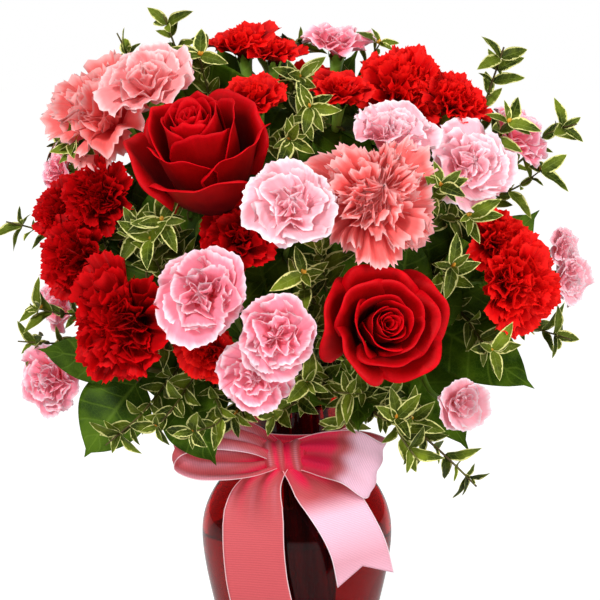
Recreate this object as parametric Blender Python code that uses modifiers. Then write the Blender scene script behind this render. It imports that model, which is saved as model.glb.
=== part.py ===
"""Roses and carnations in a round ruby glass vase, tied at the neck with a pink ribbon bow.

Metres, +Z up. The origin is the centre of the vase's foot, and the front of the
arrangement faces -Y.
"""

import math
import random

import bmesh
import bpy
import numpy as np
from mathutils import Matrix, Vector
from mathutils.bvhtree import BVHTree
from mathutils.geometry import interpolate_bezier

MM = 0.001
GAP = 0.3 * MM  # kept between pieces that touch
SEED = 7

# Vase: heights and outer radii of the turned outline, from the rim down
VASE_SIDES = 20
VASE_WALL = 3 * MM
VASE_FLOOR = 9 * MM
INNER_FLOOR_RADIUS = 31 * MM
RIM_HEIGHT = 205 * MM
VASE_OUTLINE = [(205, 34), (195, 31), (180, 30), (167, 35), (148, 52), (128, 60)]
VASE_OUTLINE += [(104, 59.5), (66, 51.5), (24, 41), (4, 37), (0, 35)]
WATER_LEVEL = 119 * MM

# Ribbon: a band round the neck and a bow in front of it
RIBBON_WIDTH = 38 * MM
RIBBON_THICKNESS = 1.2 * MM
BAND_RINGS = [191 * MM, 180 * MM, 167 * MM]
BAND_CLEARANCE = 1 * MM
BOW_BACK = 2.4 * MM  # brings the knot's back to rest on the band

# Stems: they stand side by side in the neck and lean apart again in the water
NECK_LOW = 166 * MM
NECK_TOP = 204 * MM
NECK_ROOM = 23.5 * MM
STEM_SPACING = 6.6 * MM
FULL_LEAN = math.radians(85)  # a stem that leans this much lies against the neck's wall
FOOT_HEIGHT = 9.8 * MM  # a leaning stem's cut end just clears the vase's floor
FOOT_TWIST = math.radians(50)
FOOT_SPREAD = 1.05
ROSE_STEM = 2.8 * MM
CARNATION_STEM = 2.1 * MM
SPRAY_STEM = 1.7 * MM
TWIG = 1.1 * MM
CALYX_LENGTH = 16 * MM
CALYX_BELLY = 11 * MM  # how far below the petals a calyx is nearly full width
CUP_SHARE = {"rose": 0.20, "large": 0.17, "spray": 0.17}  # calyx radius in head radii
FORK_SHARE = 0.42  # how far up from the neck to its blooms a stem forks
LEAVING_SHARE, ARRIVING_SHARE = 0.36, 0.30  # handles of a stem's bend, in its length
FORK_SWELLING = 1.5  # a stem is this much thicker where it branches
PUSH_ROUNDS = 90  # how stems are bent clear of the blooms and of each other, step by step
BLOOM_CLEARANCE, STEM_CLEARANCE = 1.2 * MM, 1.0 * MM
BLOOM_PUSH, STEM_PUSH, HOMING = 0.4, 0.15, 0.02
LONGEST_PUSH = 3 * MM
SALAL_STEM = 1.9 * MM
SALAL_RINGS = 5
ROOT_DEPTH = 2.5 * MM  # how far a leaf's root is sunk into its stem
LEAF_NODES = [22 * MM, 42 * MM]  # how far the pairs of small leaves stand from a twig's tip

# Rose: tiers of petals as (count, radius, height, half angle in degrees, rim roll)
ROSE_TIERS = [(5, 1.0, 0.80, 46, 0.16), (3, 0.70, 0.95, 68, 0.10)]
ROSE_PETAL_THICKNESS = 1.1 * MM
ROSE_HEIGHT = 1.62  # in head radii
# The bud's rings as (radius in head radii, height in bud heights), folded in at the top
BUD_RINGS = [(0.30, 0), (0.40, 0.40), (0.44, 0.98), (0.34, 0.86), (0.30, 1.02), (0.16, 0.90)]

# Frilled heads: rings from the calyx upwards as (radius, height, frill), in head radii
LARGE_RINGS = [
    (0.20, 0.00, 0), (1.00, 0.28, 1), (0.72, 0.42, -1), (0.86, 0.62, 1), (0.48, 0.64, -1),
    (0.54, 0.88, 1), (0.22, 0.78, -1),
]
SPRAY_RINGS = [
    (0.22, 0.00, 0), (1.00, 0.34, 1), (0.62, 0.44, -1), (0.72, 0.72, 1), (0.32, 0.62, -1),
]
HEAD_COLUMNS = {"large": 14, "spray": 10}
HEAD_TOP = {"large": 0.92, "spray": 0.86}

# How far below its centre a bloom's base lies, and the ball that keeps stems off it
BASE_BELOW = {"rose": 0.80, "large": 0.50, "spray": 0.50}
BALL_MIDDLE = {"rose": 0.72, "large": 0.50, "spray": 0.50}
BALL_SIZE = 0.98

# Every bloom: name, kind, centre in mm (x, y, z), bearing and lift of its face in
# degrees (bearing 0 is the front, 90 the right side), radius in mm
BLOOMS = [
    ("rose_left", "rose", (-55, -92, 362), (-20, 42), 42),
    ("rose_right", "rose", (50, -122, 269), (14, 14), 38),
    ("carnation_red_front", "large", (-102, -92, 268), (-35, -4), 33),
    ("carnation_red_left_a", "large", (-134, -48, 301), (-58, 6), 26),
    ("carnation_red_left_b", "large", (-122, -43, 338), (-45, 14), 23),
    ("carnation_red_left_c", "large", (-146, -24, 326), (-74, 8), 20),
    ("carnation_salmon_left", "large", (-118, -20, 388), (-62, 42), 34),
    ("carnation_salmon_middle", "large", (46, -112, 344), (16, 24), 35.5),
    ("carnation_red_top_a", "large", (68, -24, 400), (40, 62), 29),
    ("carnation_red_top_b", "large", (97, -33, 395), (60, 74), 21),
    ("carnation_red_right_a", "large", (133, -52, 284), (50, 0), 27),
    ("carnation_red_right_b", "large", (125, -48, 310), (48, 24), 20),
    ("spray_coral_left", "spray", (-90, -50, 407), (-30, 55), 23),
    ("spray_blush_middle", "spray", (-3, -138, 343), (0, 26), 26),
    ("spray_pink_left", "spray", (-55, -122, 289), (-14, 10), 26),
    ("spray_pink_middle_a", "spray", (-12, -137, 266), (-2, 0), 23),
    ("spray_pink_middle_b", "spray", (-24, -124, 240), (-8, -10), 21),
    ("spray_red_low", "spray", (-53, -108, 253), (-20, -8), 18),
    ("spray_red_middle", "spray", (-33, -104, 320), (-6, 28), 22),
    ("spray_blush_top", "spray", (57, -71, 379), (20, 60), 24),
    ("spray_blush_right", "spray", (105, -62, 359), (42, 34), 25),
    ("spray_pink_top_right", "spray", (138, -12, 373), (70, 44), 20),
    ("spray_blush_far_a", "spray", (169, 4, 298), (85, 10), 15),
    ("spray_blush_far_b", "spray", (173, 0, 282), (82, -2), 16),
    ("spray_pink_far_left", "spray", (-155, -22, 221), (-62, -18), 20),
    ("spray_pink_side", "spray", (-151, -5, 267), (-85, 0), 16),
    ("spray_pink_upper_left", "spray", (-150, 10, 353), (-95, 30), 15),
    ("spray_red_crown_a", "spray", (-34, 5, 429), (-30, 74), 20),
    ("spray_red_crown_b", "spray", (-14, -6, 425), (6, 72), 17),
    ("spray_red_crown_front", "spray", (-25, -52, 400), (-10, 62), 20),
    ("spray_pink_crown", "spray", (26, 5, 430), (20, 76), 20),
    ("spray_red_crown_right", "spray", (27, -43, 402), (18, 66), 18),
    ("spray_pink_low_right", "spray", (99, -72, 214), (40, -10), 19),
    ("carnation_salmon_back", "large", (-66, 98, 326), (-148, 20), 37),
    ("carnation_red_back", "large", (52, 108, 300), (155, 12), 38),
    ("spray_pink_back_left", "spray", (-112, 70, 262), (-125, 4), 25),
    ("spray_pink_back_right", "spray", (116, 62, 296), (116, 8), 26),
    ("spray_red_back", "spray", (8, 74, 392), (172, 52), 27),
]

# Blooms of one colour that grow into each other are one node
PAIRS = {
    "carnation_red_left": ["carnation_red_left_a", "carnation_red_left_b", "carnation_red_left_c"],
    "carnation_red_top": ["carnation_red_top_a", "carnation_red_top_b"],
    "carnation_red_right": ["carnation_red_right_a", "carnation_red_right_b"],
    "spray_blush_far": ["spray_blush_far_a", "spray_blush_far_b"],
    "spray_red_crown": ["spray_red_crown_a", "spray_red_crown_b"],
    "spray_pink_middle": ["spray_pink_middle_a", "spray_pink_middle_b"],
}

# Stems in the vase, each with the blooms it carries
STEMS = {
    "rose_left": ["rose_left"],
    "rose_right": ["rose_right"],
    "carnation_front": ["carnation_red_front", "carnation_red_left_a"],
    "carnation_upper": ["carnation_red_left_b", "carnation_red_left_c", "spray_pink_upper_left"],
    "carnation_salmon": ["carnation_salmon_left", "spray_coral_left"],
    "carnation_middle": ["carnation_salmon_middle"],
    "carnation_top": ["carnation_red_top_a", "carnation_red_top_b"],
    "carnation_right": ["carnation_red_right_a", "carnation_red_right_b"],
    "spray_middle": ["spray_blush_middle", "spray_red_middle", "spray_red_crown_front"],
    "spray_front": ["spray_pink_left", "spray_red_low", "spray_pink_middle_a", "spray_pink_middle_b"],
    "spray_top": ["spray_blush_top", "spray_blush_right", "spray_red_crown_right"],
    "spray_right": [
        "spray_pink_top_right", "spray_blush_far_a", "spray_blush_far_b", "spray_pink_low_right",
    ],
    "spray_far_left": ["spray_pink_far_left", "spray_pink_side"],
    "spray_crown": ["spray_red_crown_a", "spray_red_crown_b", "spray_pink_crown"],
    "back_left": ["carnation_salmon_back", "spray_pink_back_left"],
    "back_right": ["carnation_red_back", "spray_pink_back_right", "spray_red_back"],
}

# Salal: the end of each branch, and its leaves as (root, tip, width, roll), all in mm
SALAL = {
    "salal_left": ((-92, -50, 232), [
        ((-98, -58, 222), (-132, -66, 184), 40, 20),
        ((-42, -38, 226), (-52, -92, 186), 38, -10),
        ((-42, -38, 226), (-4, -96, 202), 32, 10),
        ((-92, -50, 232), (-160, -55, 246), 30, 30),
    ]),
    "salal_right": ((92, -16, 270), [
        ((80, -16, 252), (152, -52, 224), 40, 10),
        ((44, -10, 226), (106, -38, 186), 38, -20),
        ((92, -16, 270), (158, 2, 324), 32, 20),
    ]),
    "salal_top": ((-20, 22, 372), [
        ((-20, 22, 372), (-78, -6, 426), 34, 10),
        ((-20, 22, 372), (-52, 24, 428), 30, -20),
        ((-12, 20, 352), (44, 26, 424), 34, -30),
        ((-12, 20, 352), (-6, 84, 350), 34, 0),
    ]),
    "salal_back": ((8, 78, 300), [
        ((8, 78, 300), (-62, 112, 268), 38, 10),
        ((8, 78, 300), (10, 126, 344), 36, 0),
        ((6, 66, 284), (4, 118, 210), 40, 0),
        ((6, 66, 284), (96, 74, 226), 38, 20),
        ((6, 66, 284), (-92, 64, 222), 38, -20),
    ]),
}

# Small-leaved sprigs: the waypoints of the main stem, and of each twig after the number
# of the main waypoint that it starts from, all in mm
SPRIGS = {
    "sprig_left": ([(-60, 0, 242), (-116, 10, 288), (-150, 4, 308), (-184, 0, 318)], [
        (0, [(-118, -6, 244), (-150, -12, 242), (-176, -16, 244)]),
        (1, [(-138, 30, 345), (-160, 30, 374)]),
        (1, [(-108, -26, 312), (-98, -60, 316), (-94, -80, 322)]),
        (0, [(-76, -46, 228), (-96, -82, 208), (-116, -92, 192)]),
    ]),
    "sprig_top": ([(-30, 26, 300), (-58, 28, 372), (-72, 24, 412), (-84, 12, 448)], [
        (1, [(-96, 26, 404), (-114, 20, 436)]),
        (1, [(-20, 40, 400), (4, 34, 432)]),
    ]),
    "sprig_right": ([(56, 14, 270), (100, 22, 330), (118, 14, 388), (130, 2, 428)], [
        (1, [(140, 24, 352), (158, 14, 372), (176, -2, 380)]),
        (0, [(110, 20, 272), (150, 26, 276), (182, 22, 290)]),
        (0, [(110, 0, 258), (148, -12, 252), (172, -22, 246)]),
        (0, [(26, 0, 330), (8, -30, 372), (4, -52, 396)]),
    ]),
    "sprig_low": ([(30, -34, 222), (62, -70, 206), (88, -82, 186), (110, -80, 164)], [
        (0, [(40, -78, 222), (22, -100, 226)]),
        (1, [(62, -96, 200), (74, -104, 184)]),
    ]),
    "sprig_back": ([(0, 44, 270), (6, 76, 330), (10, 92, 372), (14, 96, 402)], [
        (0, [(-56, 84, 300), (-112, 84, 326)]),
        (0, [(60, 78, 290), (112, 84, 330)]),
    ]),
}

COLOURS = {
    "rose": (0.50, 0.004, 0.010),
    "red": (0.58, 0.006, 0.010),
    "salmon": (0.86, 0.24, 0.22),
    "coral": (0.90, 0.30, 0.30),
    "pink": (0.90, 0.36, 0.42),
    "blush": (0.92, 0.55, 0.60),
    "stem": (0.12, 0.22, 0.05),
    "salal": (0.03, 0.10, 0.01),
    "sprig": (0.13, 0.19, 0.05),
    "ribbon": (0.85, 0.20, 0.28),
}


def make_material(name, colour, roughness, alpha=1.0):
    material = bpy.data.materials.new(name)
    material.use_nodes = True
    shader = material.node_tree.nodes["Principled BSDF"]
    shader.inputs["Base Color"].default_value = (*colour, 1.0)
    shader.inputs["Roughness"].default_value = roughness
    shader.inputs["Metallic"].default_value = 0.0
    shader.inputs["Alpha"].default_value = alpha
    return material


def new_object(name, bm, material=None):
    """Turns a bmesh into an object of the arrangement."""
    mesh = bpy.data.meshes.new(name)
    bm.to_mesh(mesh)
    bm.free()
    obj = bpy.data.objects.new(name, mesh)
    bpy.data.collections["arrangement"].objects.link(obj)
    if material:
        mesh.materials.append(material)
    return obj


def applied(obj):
    """Replaces an object, with its modifiers or curve, by the plain mesh it evaluates to."""
    bpy.context.view_layer.update()
    depsgraph = bpy.context.evaluated_depsgraph_get()
    mesh = bpy.data.meshes.new_from_object(obj.evaluated_get(depsgraph))
    mesh.transform(obj.matrix_world)
    name = obj.name
    bpy.data.objects.remove(obj)
    result = bpy.data.objects.new(name, mesh)
    bpy.data.collections["arrangement"].objects.link(result)
    return result


def keep_outer_skin(obj):
    """Keeps the largest skin: sealed hollows fill up and loose scraps are dropped."""
    bm = bmesh.new()
    bm.from_mesh(obj.data)
    skins = []
    unseen = set(bm.faces)
    while unseen:
        skin = {unseen.pop()}
        edge_of_skin = list(skin)
        while edge_of_skin:
            face = edge_of_skin.pop()
            for edge in face.edges:
                for other in edge.link_faces:
                    if other in unseen:
                        unseen.discard(other)
                        skin.add(other)
                        edge_of_skin.append(other)
        skins.append(skin)
    areas = [sum(face.calc_area() for face in skin) for skin in skins]
    biggest = skins[areas.index(max(areas))]
    if sum(areas) > 1.04 * max(areas):
        print(obj.name, "drops", len(skins) - 1, "skins of", [round(a * 1e6) for a in areas])
    bmesh.ops.delete(bm, geom=[f for f in bm.faces if f not in biggest], context="FACES")
    bm.to_mesh(obj.data)
    bm.free()


def fuse(name, pieces, material, solver="MANIFOLD"):
    """Joins pieces that run into each other into one closed body."""
    body = pieces[0]
    body.name = name
    if len(pieces) > 1:
        group = bpy.data.collections.new(name + "_pieces")
        bpy.context.scene.collection.children.link(group)
        for piece in pieces[1:]:
            bpy.data.collections["arrangement"].objects.unlink(piece)
            group.objects.link(piece)
        union = body.modifiers.new("union", "BOOLEAN")
        union.operation = "UNION"
        union.operand_type = "COLLECTION"
        union.collection = group
        union.solver = solver
        body = applied(body)
        body.name = name
        for piece in list(group.objects):
            bpy.data.objects.remove(piece)
        bpy.data.collections.remove(group)
    keep_outer_skin(body)
    body.data.materials.clear()
    body.data.materials.append(material)
    return body


def facing(bearing, lift):
    """The direction a bloom looks in, from its bearing and lift in degrees."""
    b, up = math.radians(bearing), math.radians(lift)
    return Vector((math.sin(b) * math.cos(up), -math.cos(b) * math.cos(up), math.sin(up)))


def turned_to(direction, spin, base):
    """A matrix that stands local +Z along a direction, spun round it, at a base point."""
    turn = Vector((0, 0, 1)).rotation_difference(direction).to_matrix().to_4x4()
    return Matrix.Translation(base) @ turn @ Matrix.Rotation(spin, 4, "Z")


def vase_radius(height):
    """Outer radius of the vase at a height, by a smooth curve through the outline."""
    points = [(z * MM, r * MM) for z, r in VASE_OUTLINE]
    for i in range(len(points) - 1):
        (z0, r0), (z1, r1) = points[i], points[i + 1]
        if z1 <= height <= z0:
            before = points[max(i - 1, 0)]
            after = points[min(i + 2, len(points) - 1)]
            slope0 = (r1 - before[1]) / (z1 - before[0])
            slope1 = (after[1] - r0) / (after[0] - z0)
            t = (height - z0) / (z1 - z0)
            step = z1 - z0
            return (
                (2 * t**3 - 3 * t**2 + 1) * r0 + (t**3 - 2 * t**2 + t) * step * slope0
                + (3 * t**2 - 2 * t**3) * r1 + (t**3 - t**2) * step * slope1
            )
    raise ValueError("height is outside the vase")


def inside_heights(top):
    """The heights, above the floor and up to a top, of the rings inside the vase."""
    rings = [z * MM for z, _ in VASE_OUTLINE] + [WATER_LEVEL]
    return sorted(z for z in rings if VASE_FLOOR < z <= top)


def turn_outline(name, outline, material, closed=False):
    """Turns an outline of (radius, height) points, which is closed or ends on the axis."""
    mesh = bpy.data.meshes.new(name)
    vertices = [(r, 0, z) for r, z in outline]
    edges = [(i, i + 1) for i in range(len(vertices) - 1)]
    if closed:
        edges.append((len(vertices) - 1, 0))
    mesh.from_pydata(vertices, edges, [])
    obj = bpy.data.objects.new(name, mesh)
    bpy.data.collections["arrangement"].objects.link(obj)
    mesh.materials.append(material)
    screw = obj.modifiers.new("turn", "SCREW")
    screw.steps = screw.render_steps = VASE_SIDES
    screw.use_merge_vertices = True
    screw.merge_threshold = 0.00001
    screw.use_smooth_shade = True
    return applied(obj)


def make_vase():
    outline = [(0, VASE_FLOOR), (INNER_FLOOR_RADIUS, VASE_FLOOR)]
    for z in inside_heights(RIM_HEIGHT):
        outline.append((vase_radius(z) - VASE_WALL, z))
    for z, r in VASE_OUTLINE:
        outline.append((r * MM, z * MM))
    outline.append((0, 0))
    glass = make_material("ruby_glass", (0.35, 0.0, 0.01), 0.05, alpha=0.6)
    return turn_outline("vase", outline, glass)


def make_water(stem_runs):
    """The water up to its level, with a plain hole for each stem."""
    outline = [(0, WATER_LEVEL)]
    for z in reversed(inside_heights(WATER_LEVEL)):
        outline.append((vase_radius(z) - VASE_WALL - GAP, z))
    outline += [(INNER_FLOOR_RADIUS - GAP, VASE_FLOOR + GAP), (0, VASE_FLOOR + GAP)]
    water = turn_outline("water", outline, make_material("water", (0.5, 0.6, 0.6), 0.05, 0.4))
    holes = bpy.data.collections.new("stem_holes")
    bpy.context.scene.collection.children.link(holes)
    for foot, neck, radius in stem_runs:
        along = (neck - foot).normalized()
        bottom = foot - along * 2 * MM
        top = foot + along * (WATER_LEVEL + 6 * MM - foot.z) / along.z
        drill = tube("hole", [bottom, top], [math.sqrt(2) * radius + 2 * GAP] * 2, sides=4)
        bpy.data.collections["arrangement"].objects.unlink(drill)
        holes.objects.link(drill)
    cut = water.modifiers.new("stem_holes", "BOOLEAN")
    cut.operation = "DIFFERENCE"
    cut.operand_type = "COLLECTION"
    cut.collection = holes
    cut.solver = "MANIFOLD"
    water = applied(water)
    for drill in list(holes.objects):
        bpy.data.objects.remove(drill)
    bpy.data.collections.remove(holes)
    return water


def tube(name, points, radii, sides=6):
    """A round stem through the points, as a closed mesh."""
    curve = bpy.data.curves.new(name, "CURVE")
    curve.dimensions = "3D"
    curve.bevel_depth = MM
    curve.bevel_resolution = sides // 2 - 2
    curve.use_fill_caps = True
    spline = curve.splines.new("POLY")
    spline.points.add(len(points) - 1)
    for point, place, radius in zip(spline.points, points, radii):
        point.co = (*place, 1)
        point.radius = radius / MM
    obj = bpy.data.objects.new(name, curve)
    bpy.data.collections["arrangement"].objects.link(obj)
    obj = applied(obj)
    bm = bmesh.new()
    bm.from_mesh(obj.data)
    bmesh.ops.remove_doubles(bm, verts=bm.verts, dist=0.00001)
    bmesh.ops.recalc_face_normals(bm, faces=bm.faces)
    bm.to_mesh(obj.data)
    bm.free()
    return obj


def frilled_head(kind, radius, seed):
    """A carnation: tiers of ruffled petals raised from a ball, each frill over a groove."""
    rings = LARGE_RINGS if kind == "large" else SPRAY_RINGS
    columns = HEAD_COLUMNS[kind]
    draw = random.Random(seed)
    lobes = [draw.choice((4, 5, 6)) for _ in rings]
    phases = [draw.uniform(0, math.tau) for _ in rings]
    bm = bmesh.new()
    bmesh.ops.create_uvsphere(
        bm, u_segments=columns, v_segments=len(rings) + 1, radius=1.0
    )
    for vertex in bm.verts:
        level = round(math.acos(max(-1, min(1, -vertex.co.z))) / math.pi * (len(rings) + 1))
        if level == 0:
            vertex.co = (0, 0, 0)
            continue
        if level == len(rings) + 1:
            vertex.co = (0, 0, HEAD_TOP[kind] * radius)
            continue
        reach, height, frill = rings[level - 1]
        angle = math.atan2(vertex.co.y, vertex.co.x)
        column = round(angle / math.tau * columns)
        pleat = 1 if column % 2 else -1
        lobe = math.cos(lobes[level - 1] * angle + phases[level - 1])
        if frill > 0:
            reach *= 0.94 + 0.05 * lobe + 0.045 * pleat
            height += 0.05 * lobe * reach - 0.055 * pleat
        elif frill < 0:
            reach *= 1 - 0.07 * pleat
        vertex.co = (
            reach * radius * math.cos(angle),
            reach * radius * math.sin(angle),
            height * radius,
        )
    return bm


def rose_petal(radius, height, half_angle, roll):
    """One cupped petal on a grid, with its rim rolled out and one side edge over the other."""
    bm = bmesh.new()
    bmesh.ops.create_grid(bm, x_segments=3, y_segments=3, size=1.0)
    for vertex in bm.verts:
        side, up = vertex.co.x, (vertex.co.y + 1) / 2
        spread = half_angle * (0.42 + 0.75 * up - 0.17 * up * up)
        angle = side * spread
        belly = 0.24 + 0.72 * math.sin(up * math.pi / 2) ** 0.8
        reach = radius * (belly + roll * up**3 + 0.05 * side)
        lift = height * (0.04 + 0.96 * up - 0.13 * side * side * up - 0.5 * roll * up**4)
        vertex.co = (reach * math.sin(angle), -reach * math.cos(angle), lift)
    bmesh.ops.triangulate(bm, faces=bm.faces)
    return bm


def rose_head(name, radius, seed):
    """A rose: tiers of petals fused round a bud whose own whorls are raised by a formula."""
    height = ROSE_HEIGHT * radius
    draw = random.Random(seed)
    bud = bmesh.new()
    last = len(BUD_RINGS) + 1
    rings = [(0, 0), *BUD_RINGS, (0, 1)]
    bmesh.ops.create_uvsphere(bud, u_segments=8, v_segments=last, radius=1.0)
    for vertex in bud.verts:
        level = round(math.acos(max(-1, min(1, -vertex.co.z))) / math.pi * last)
        angle = math.atan2(vertex.co.y, vertex.co.x)
        reach, lift = rings[level]
        vertex.co = (
            reach * radius * math.cos(angle), reach * radius * math.sin(angle), lift * height
        )
    pieces = [new_object(name + "_bud", bud)]
    for count, reach, rise, half_angle, roll in ROSE_TIERS:
        start = draw.uniform(0, math.tau)
        for i in range(count):
            bm = rose_petal(reach * radius, rise * height, math.radians(half_angle), roll)
            bm.transform(Matrix.Rotation(start + i * math.tau / count, 4, "Z"))
            petal = new_object(name + "_petal", bm)
            shell = petal.modifiers.new("thickness", "SOLIDIFY")
            shell.thickness = ROSE_PETAL_THICKNESS
            shell.offset = 0
            pieces.append(applied(petal))
    return pieces


def bloom_base(bloom):
    """Where a bloom's petals leave its calyx."""
    _, kind, centre, look, radius = bloom
    return (Vector(centre) - facing(*look) * BASE_BELOW[kind] * radius) * MM


def colour_of(name):
    if name.startswith("rose"):
        return "rose"
    return next(c for c in ("red", "salmon", "coral", "blush", "pink") if c in name)


def make_blooms(materials):
    """Every bloom as its own node, apart from the pairs, which are one node each."""
    heads = {}
    for number, bloom in enumerate(BLOOMS):
        name, kind, _, look, radius = bloom
        place = turned_to(facing(*look), 0.7 * number, bloom_base(bloom))
        if kind == "rose":
            pieces = rose_head(name, radius * MM, SEED + number)
            for piece in pieces:
                piece.data.transform(place)
            heads[name] = fuse(name, pieces, materials["rose"])
        else:
            bm = frilled_head(kind, radius * MM, SEED + number)
            bm.transform(place)
            heads[name] = new_object(name, bm, materials[colour_of(name)])
    for pair, members in PAIRS.items():
        pieces = [heads.pop(member) for member in members]
        heads[pair] = fuse(pair, pieces, materials[colour_of(pair)])
    return heads


def settle_in_neck(aims):
    """Slots side by side in the neck, each on the side that its stem leans to."""
    places = []
    for aim in aims:
        lean = math.atan2(math.hypot(aim.x, aim.y), aim.z - NECK_TOP)
        bearing = math.atan2(aim.y, aim.x)
        reach = NECK_ROOM * min(lean / FULL_LEAN, 1)
        places.append(Vector((reach * math.cos(bearing), reach * math.sin(bearing))))
    for _ in range(400):
        for i, one in enumerate(places):
            for other in places[i + 1:]:
                apart = one - other
                if apart.length < STEM_SPACING:
                    push = apart.normalized() * (STEM_SPACING - apart.length) / 2
                    one += push
                    other -= push
        for one in places:
            if one.length > NECK_ROOM:
                one *= NECK_ROOM / one.length
    return places


def foot_of(slot):
    """Where a stem stands in the water, from its slot in the neck."""
    turned = slot.copy()
    turned.rotate(Matrix.Rotation(FOOT_TWIST, 2))
    return Vector((*(turned * FOOT_SPREAD), FOOT_HEIGHT))


def arch(start, leaving, end, arriving, steps):
    """Points of a smooth bend between two places, without its first point."""
    reach = (end - start).length
    after = start + leaving * LEAVING_SHARE * reach
    before = end - arriving * ARRIVING_SHARE * reach
    return interpolate_bezier(start, after, before, end, steps)[1:]


def through(waypoints, steps):
    """A smooth line through waypoints, with a number of steps between each two."""
    line = [waypoints[0]]
    for i in range(len(waypoints) - 1):
        before = waypoints[max(i - 1, 0)]
        after = waypoints[min(i + 2, len(waypoints) - 1)]
        a, b = waypoints[i], waypoints[i + 1]
        line += interpolate_bezier(a, a + (b - before) / 6, b - (after - a) / 6, b, steps + 1)[1:]
    return line


def back_from_tip(points, distance):
    """The place at a distance back from a line's tip, with the line's direction there."""
    for a, b in zip(reversed(points[:-1]), reversed(points[1:])):
        span = (b - a).length
        if distance <= span:
            return b.lerp(a, distance / span), (b - a).normalized()
        distance -= span
    return points[0], (points[1] - points[0]).normalized()


def push_clear(paths, balls):
    """Bends each path's free points away from the blooms and from the other plants' paths."""
    points = np.array([p for path in paths for p in path["points"]], float)
    owner = np.array([i for i, path in enumerate(paths) for _ in path["points"]])
    node = np.array([path["node"] for path in paths])[owner]
    free = np.array([f for path in paths for f in path["free"]])
    thick = np.array([path["radius"] for path in paths])[owner]
    first = np.array([i for i in range(len(points) - 1) if owner[i] == owner[i + 1]])
    ball_at = np.array([ball[0] for ball in balls])
    ball_size = np.array([ball[1] for ball in balls])
    ball_name = np.array([ball[2] for ball in balls])
    carried = [paths[i]["blooms"] for i in owner]
    own = np.array([[name in names for name in ball_name] for names in carried])
    start = points.copy()
    for _ in range(PUSH_ROUNDS):
        shift = np.zeros_like(points)
        a, b = points[first], points[first + 1]
        for share in (0.0, 0.25, 0.5, 0.75):
            probe = a + (b - a) * share
            off = probe[:, None] - ball_at[None]
            far = np.linalg.norm(off, axis=2)
            short = ball_size[None] + thick[first][:, None] + BLOOM_CLEARANCE - far
            short[(short < 0) | own[first]] = 0
            push = (off / np.maximum(far, 1e-6)[..., None] * short[..., None]).sum(1)
            shift[first] += BLOOM_PUSH * (1 - share) * push
            shift[first + 1] += BLOOM_PUSH * share * push
            span = b - a
            along = ((probe[:, None] - a[None]) * span[None]).sum(2) / (span**2).sum(1)[None]
            nearest = a[None] + span[None] * np.clip(along, 0, 1)[..., None]
            off = probe[:, None] - nearest
            far = np.linalg.norm(off, axis=2)
            short = thick[first][:, None] + thick[first][None] + STEM_CLEARANCE - far
            short[(short < 0) | (node[first][:, None] == node[first][None])] = 0
            push = (off / np.maximum(far, 1e-6)[..., None] * short[..., None])
            for end in (0, 1):
                np.add.at(shift, first + end, STEM_PUSH * push.sum(1))
                np.add.at(shift, first + end, -STEM_PUSH * push.sum(0))
        shift += HOMING * (start - points)
        points += np.clip(shift, -LONGEST_PUSH, LONGEST_PUSH) * free[:, None]
    for i, path in enumerate(paths):
        path["points"] = [Vector(p) for p in points[owner == i]]


def plan_stems(balls):
    """The path of every stem, branch and twig, settled clear of the blooms and each other."""
    bloom_of = {bloom[0]: bloom for bloom in BLOOMS}
    plans = []
    for name, carried in STEMS.items():
        bases = [bloom_base(bloom_of[bloom]) for bloom in carried]
        aim = sum(bases, Vector()) / len(bases)
        plans.append({"name": "stem_" + name, "aim": aim, "carried": carried})
    for name, (end, _) in SALAL.items():
        plans.append({"name": name, "aim": Vector(end) * MM, "carried": []})
    for name, (main, _) in SPRIGS.items():
        plans.append({"name": name, "aim": Vector(main[0]) * MM, "carried": []})
    slots = settle_in_neck([plan["aim"] for plan in plans])
    up = Vector((0, 0, 1))
    paths = []
    for node, (plan, slot) in enumerate(zip(plans, slots)):
        foot = foot_of(slot)
        low = Vector((*slot, NECK_LOW))
        top = Vector((*slot, NECK_TOP))
        trunk = [foot, low, top]
        plan["foot"], plan["neck"] = foot, low
        name = plan["name"]
        thick = CARNATION_STEM

        def add(points, fixed_start, radius, kind, bloom=None, fixed_end=1):
            count = len(points)
            free = [fixed_start <= i < count - fixed_end for i in range(count)]
            carried = [bloom] if bloom else []
            paths.append({
                "node": node, "points": points, "free": free, "radius": radius,
                "kind": kind, "blooms": carried, "name": name,
            })

        if plan["carried"]:
            if name.startswith("stem_rose"):
                thick = ROSE_STEM
            if name.startswith("stem_spray"):
                thick = SPRAY_STEM
            if len(plan["carried"]) == 1:
                bloom = bloom_of[plan["carried"][0]]
                look = facing(*bloom[3])
                end = bloom_base(bloom) - look * (CALYX_LENGTH + GAP)
                add(trunk + arch(top, up, end, look, 5), 3, thick, "main", bloom[0])
            else:
                fork = top.lerp(plan["aim"], FORK_SHARE)
                leaving = (plan["aim"] - top).normalized()
                add(trunk + arch(top, up, fork, leaving, 3), 3, thick, "main")
                for bloom_name in plan["carried"]:
                    bloom = bloom_of[bloom_name]
                    look = facing(*bloom[3])
                    end = bloom_base(bloom) - look * (CALYX_LENGTH + GAP)
                    branch = [fork] + arch(fork, leaving, end, look, 4)
                    add(branch, 1, min(thick, SPRAY_STEM), "branch", bloom_name)
        elif name in SALAL:
            end = Vector(SALAL[name][0]) * MM
            add(trunk + arch(top, up, end, (end - top).normalized(), 6), 3, SALAL_STEM, "main")
        else:
            main, twigs = SPRIGS[name]
            main = [Vector(p) * MM for p in main]
            rise = arch(top, up, main[0], (main[1] - main[0]).normalized(), 4)
            add(trunk + rise + through(main, 2)[1:], 3, TWIG + 0.2 * MM, "main", fixed_end=0)
            trunk_path = paths[-1]
            for start, waypoints in twigs:
                line = [main[start]] + [Vector(p) * MM for p in waypoints]
                add(line, 1, TWIG, "twig", fixed_end=0)
                joint = len(trunk + rise) - 1 + 2 * start
                trunk_path["free"][joint] = False
    push_clear(paths, balls)
    return plans, paths


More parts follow.
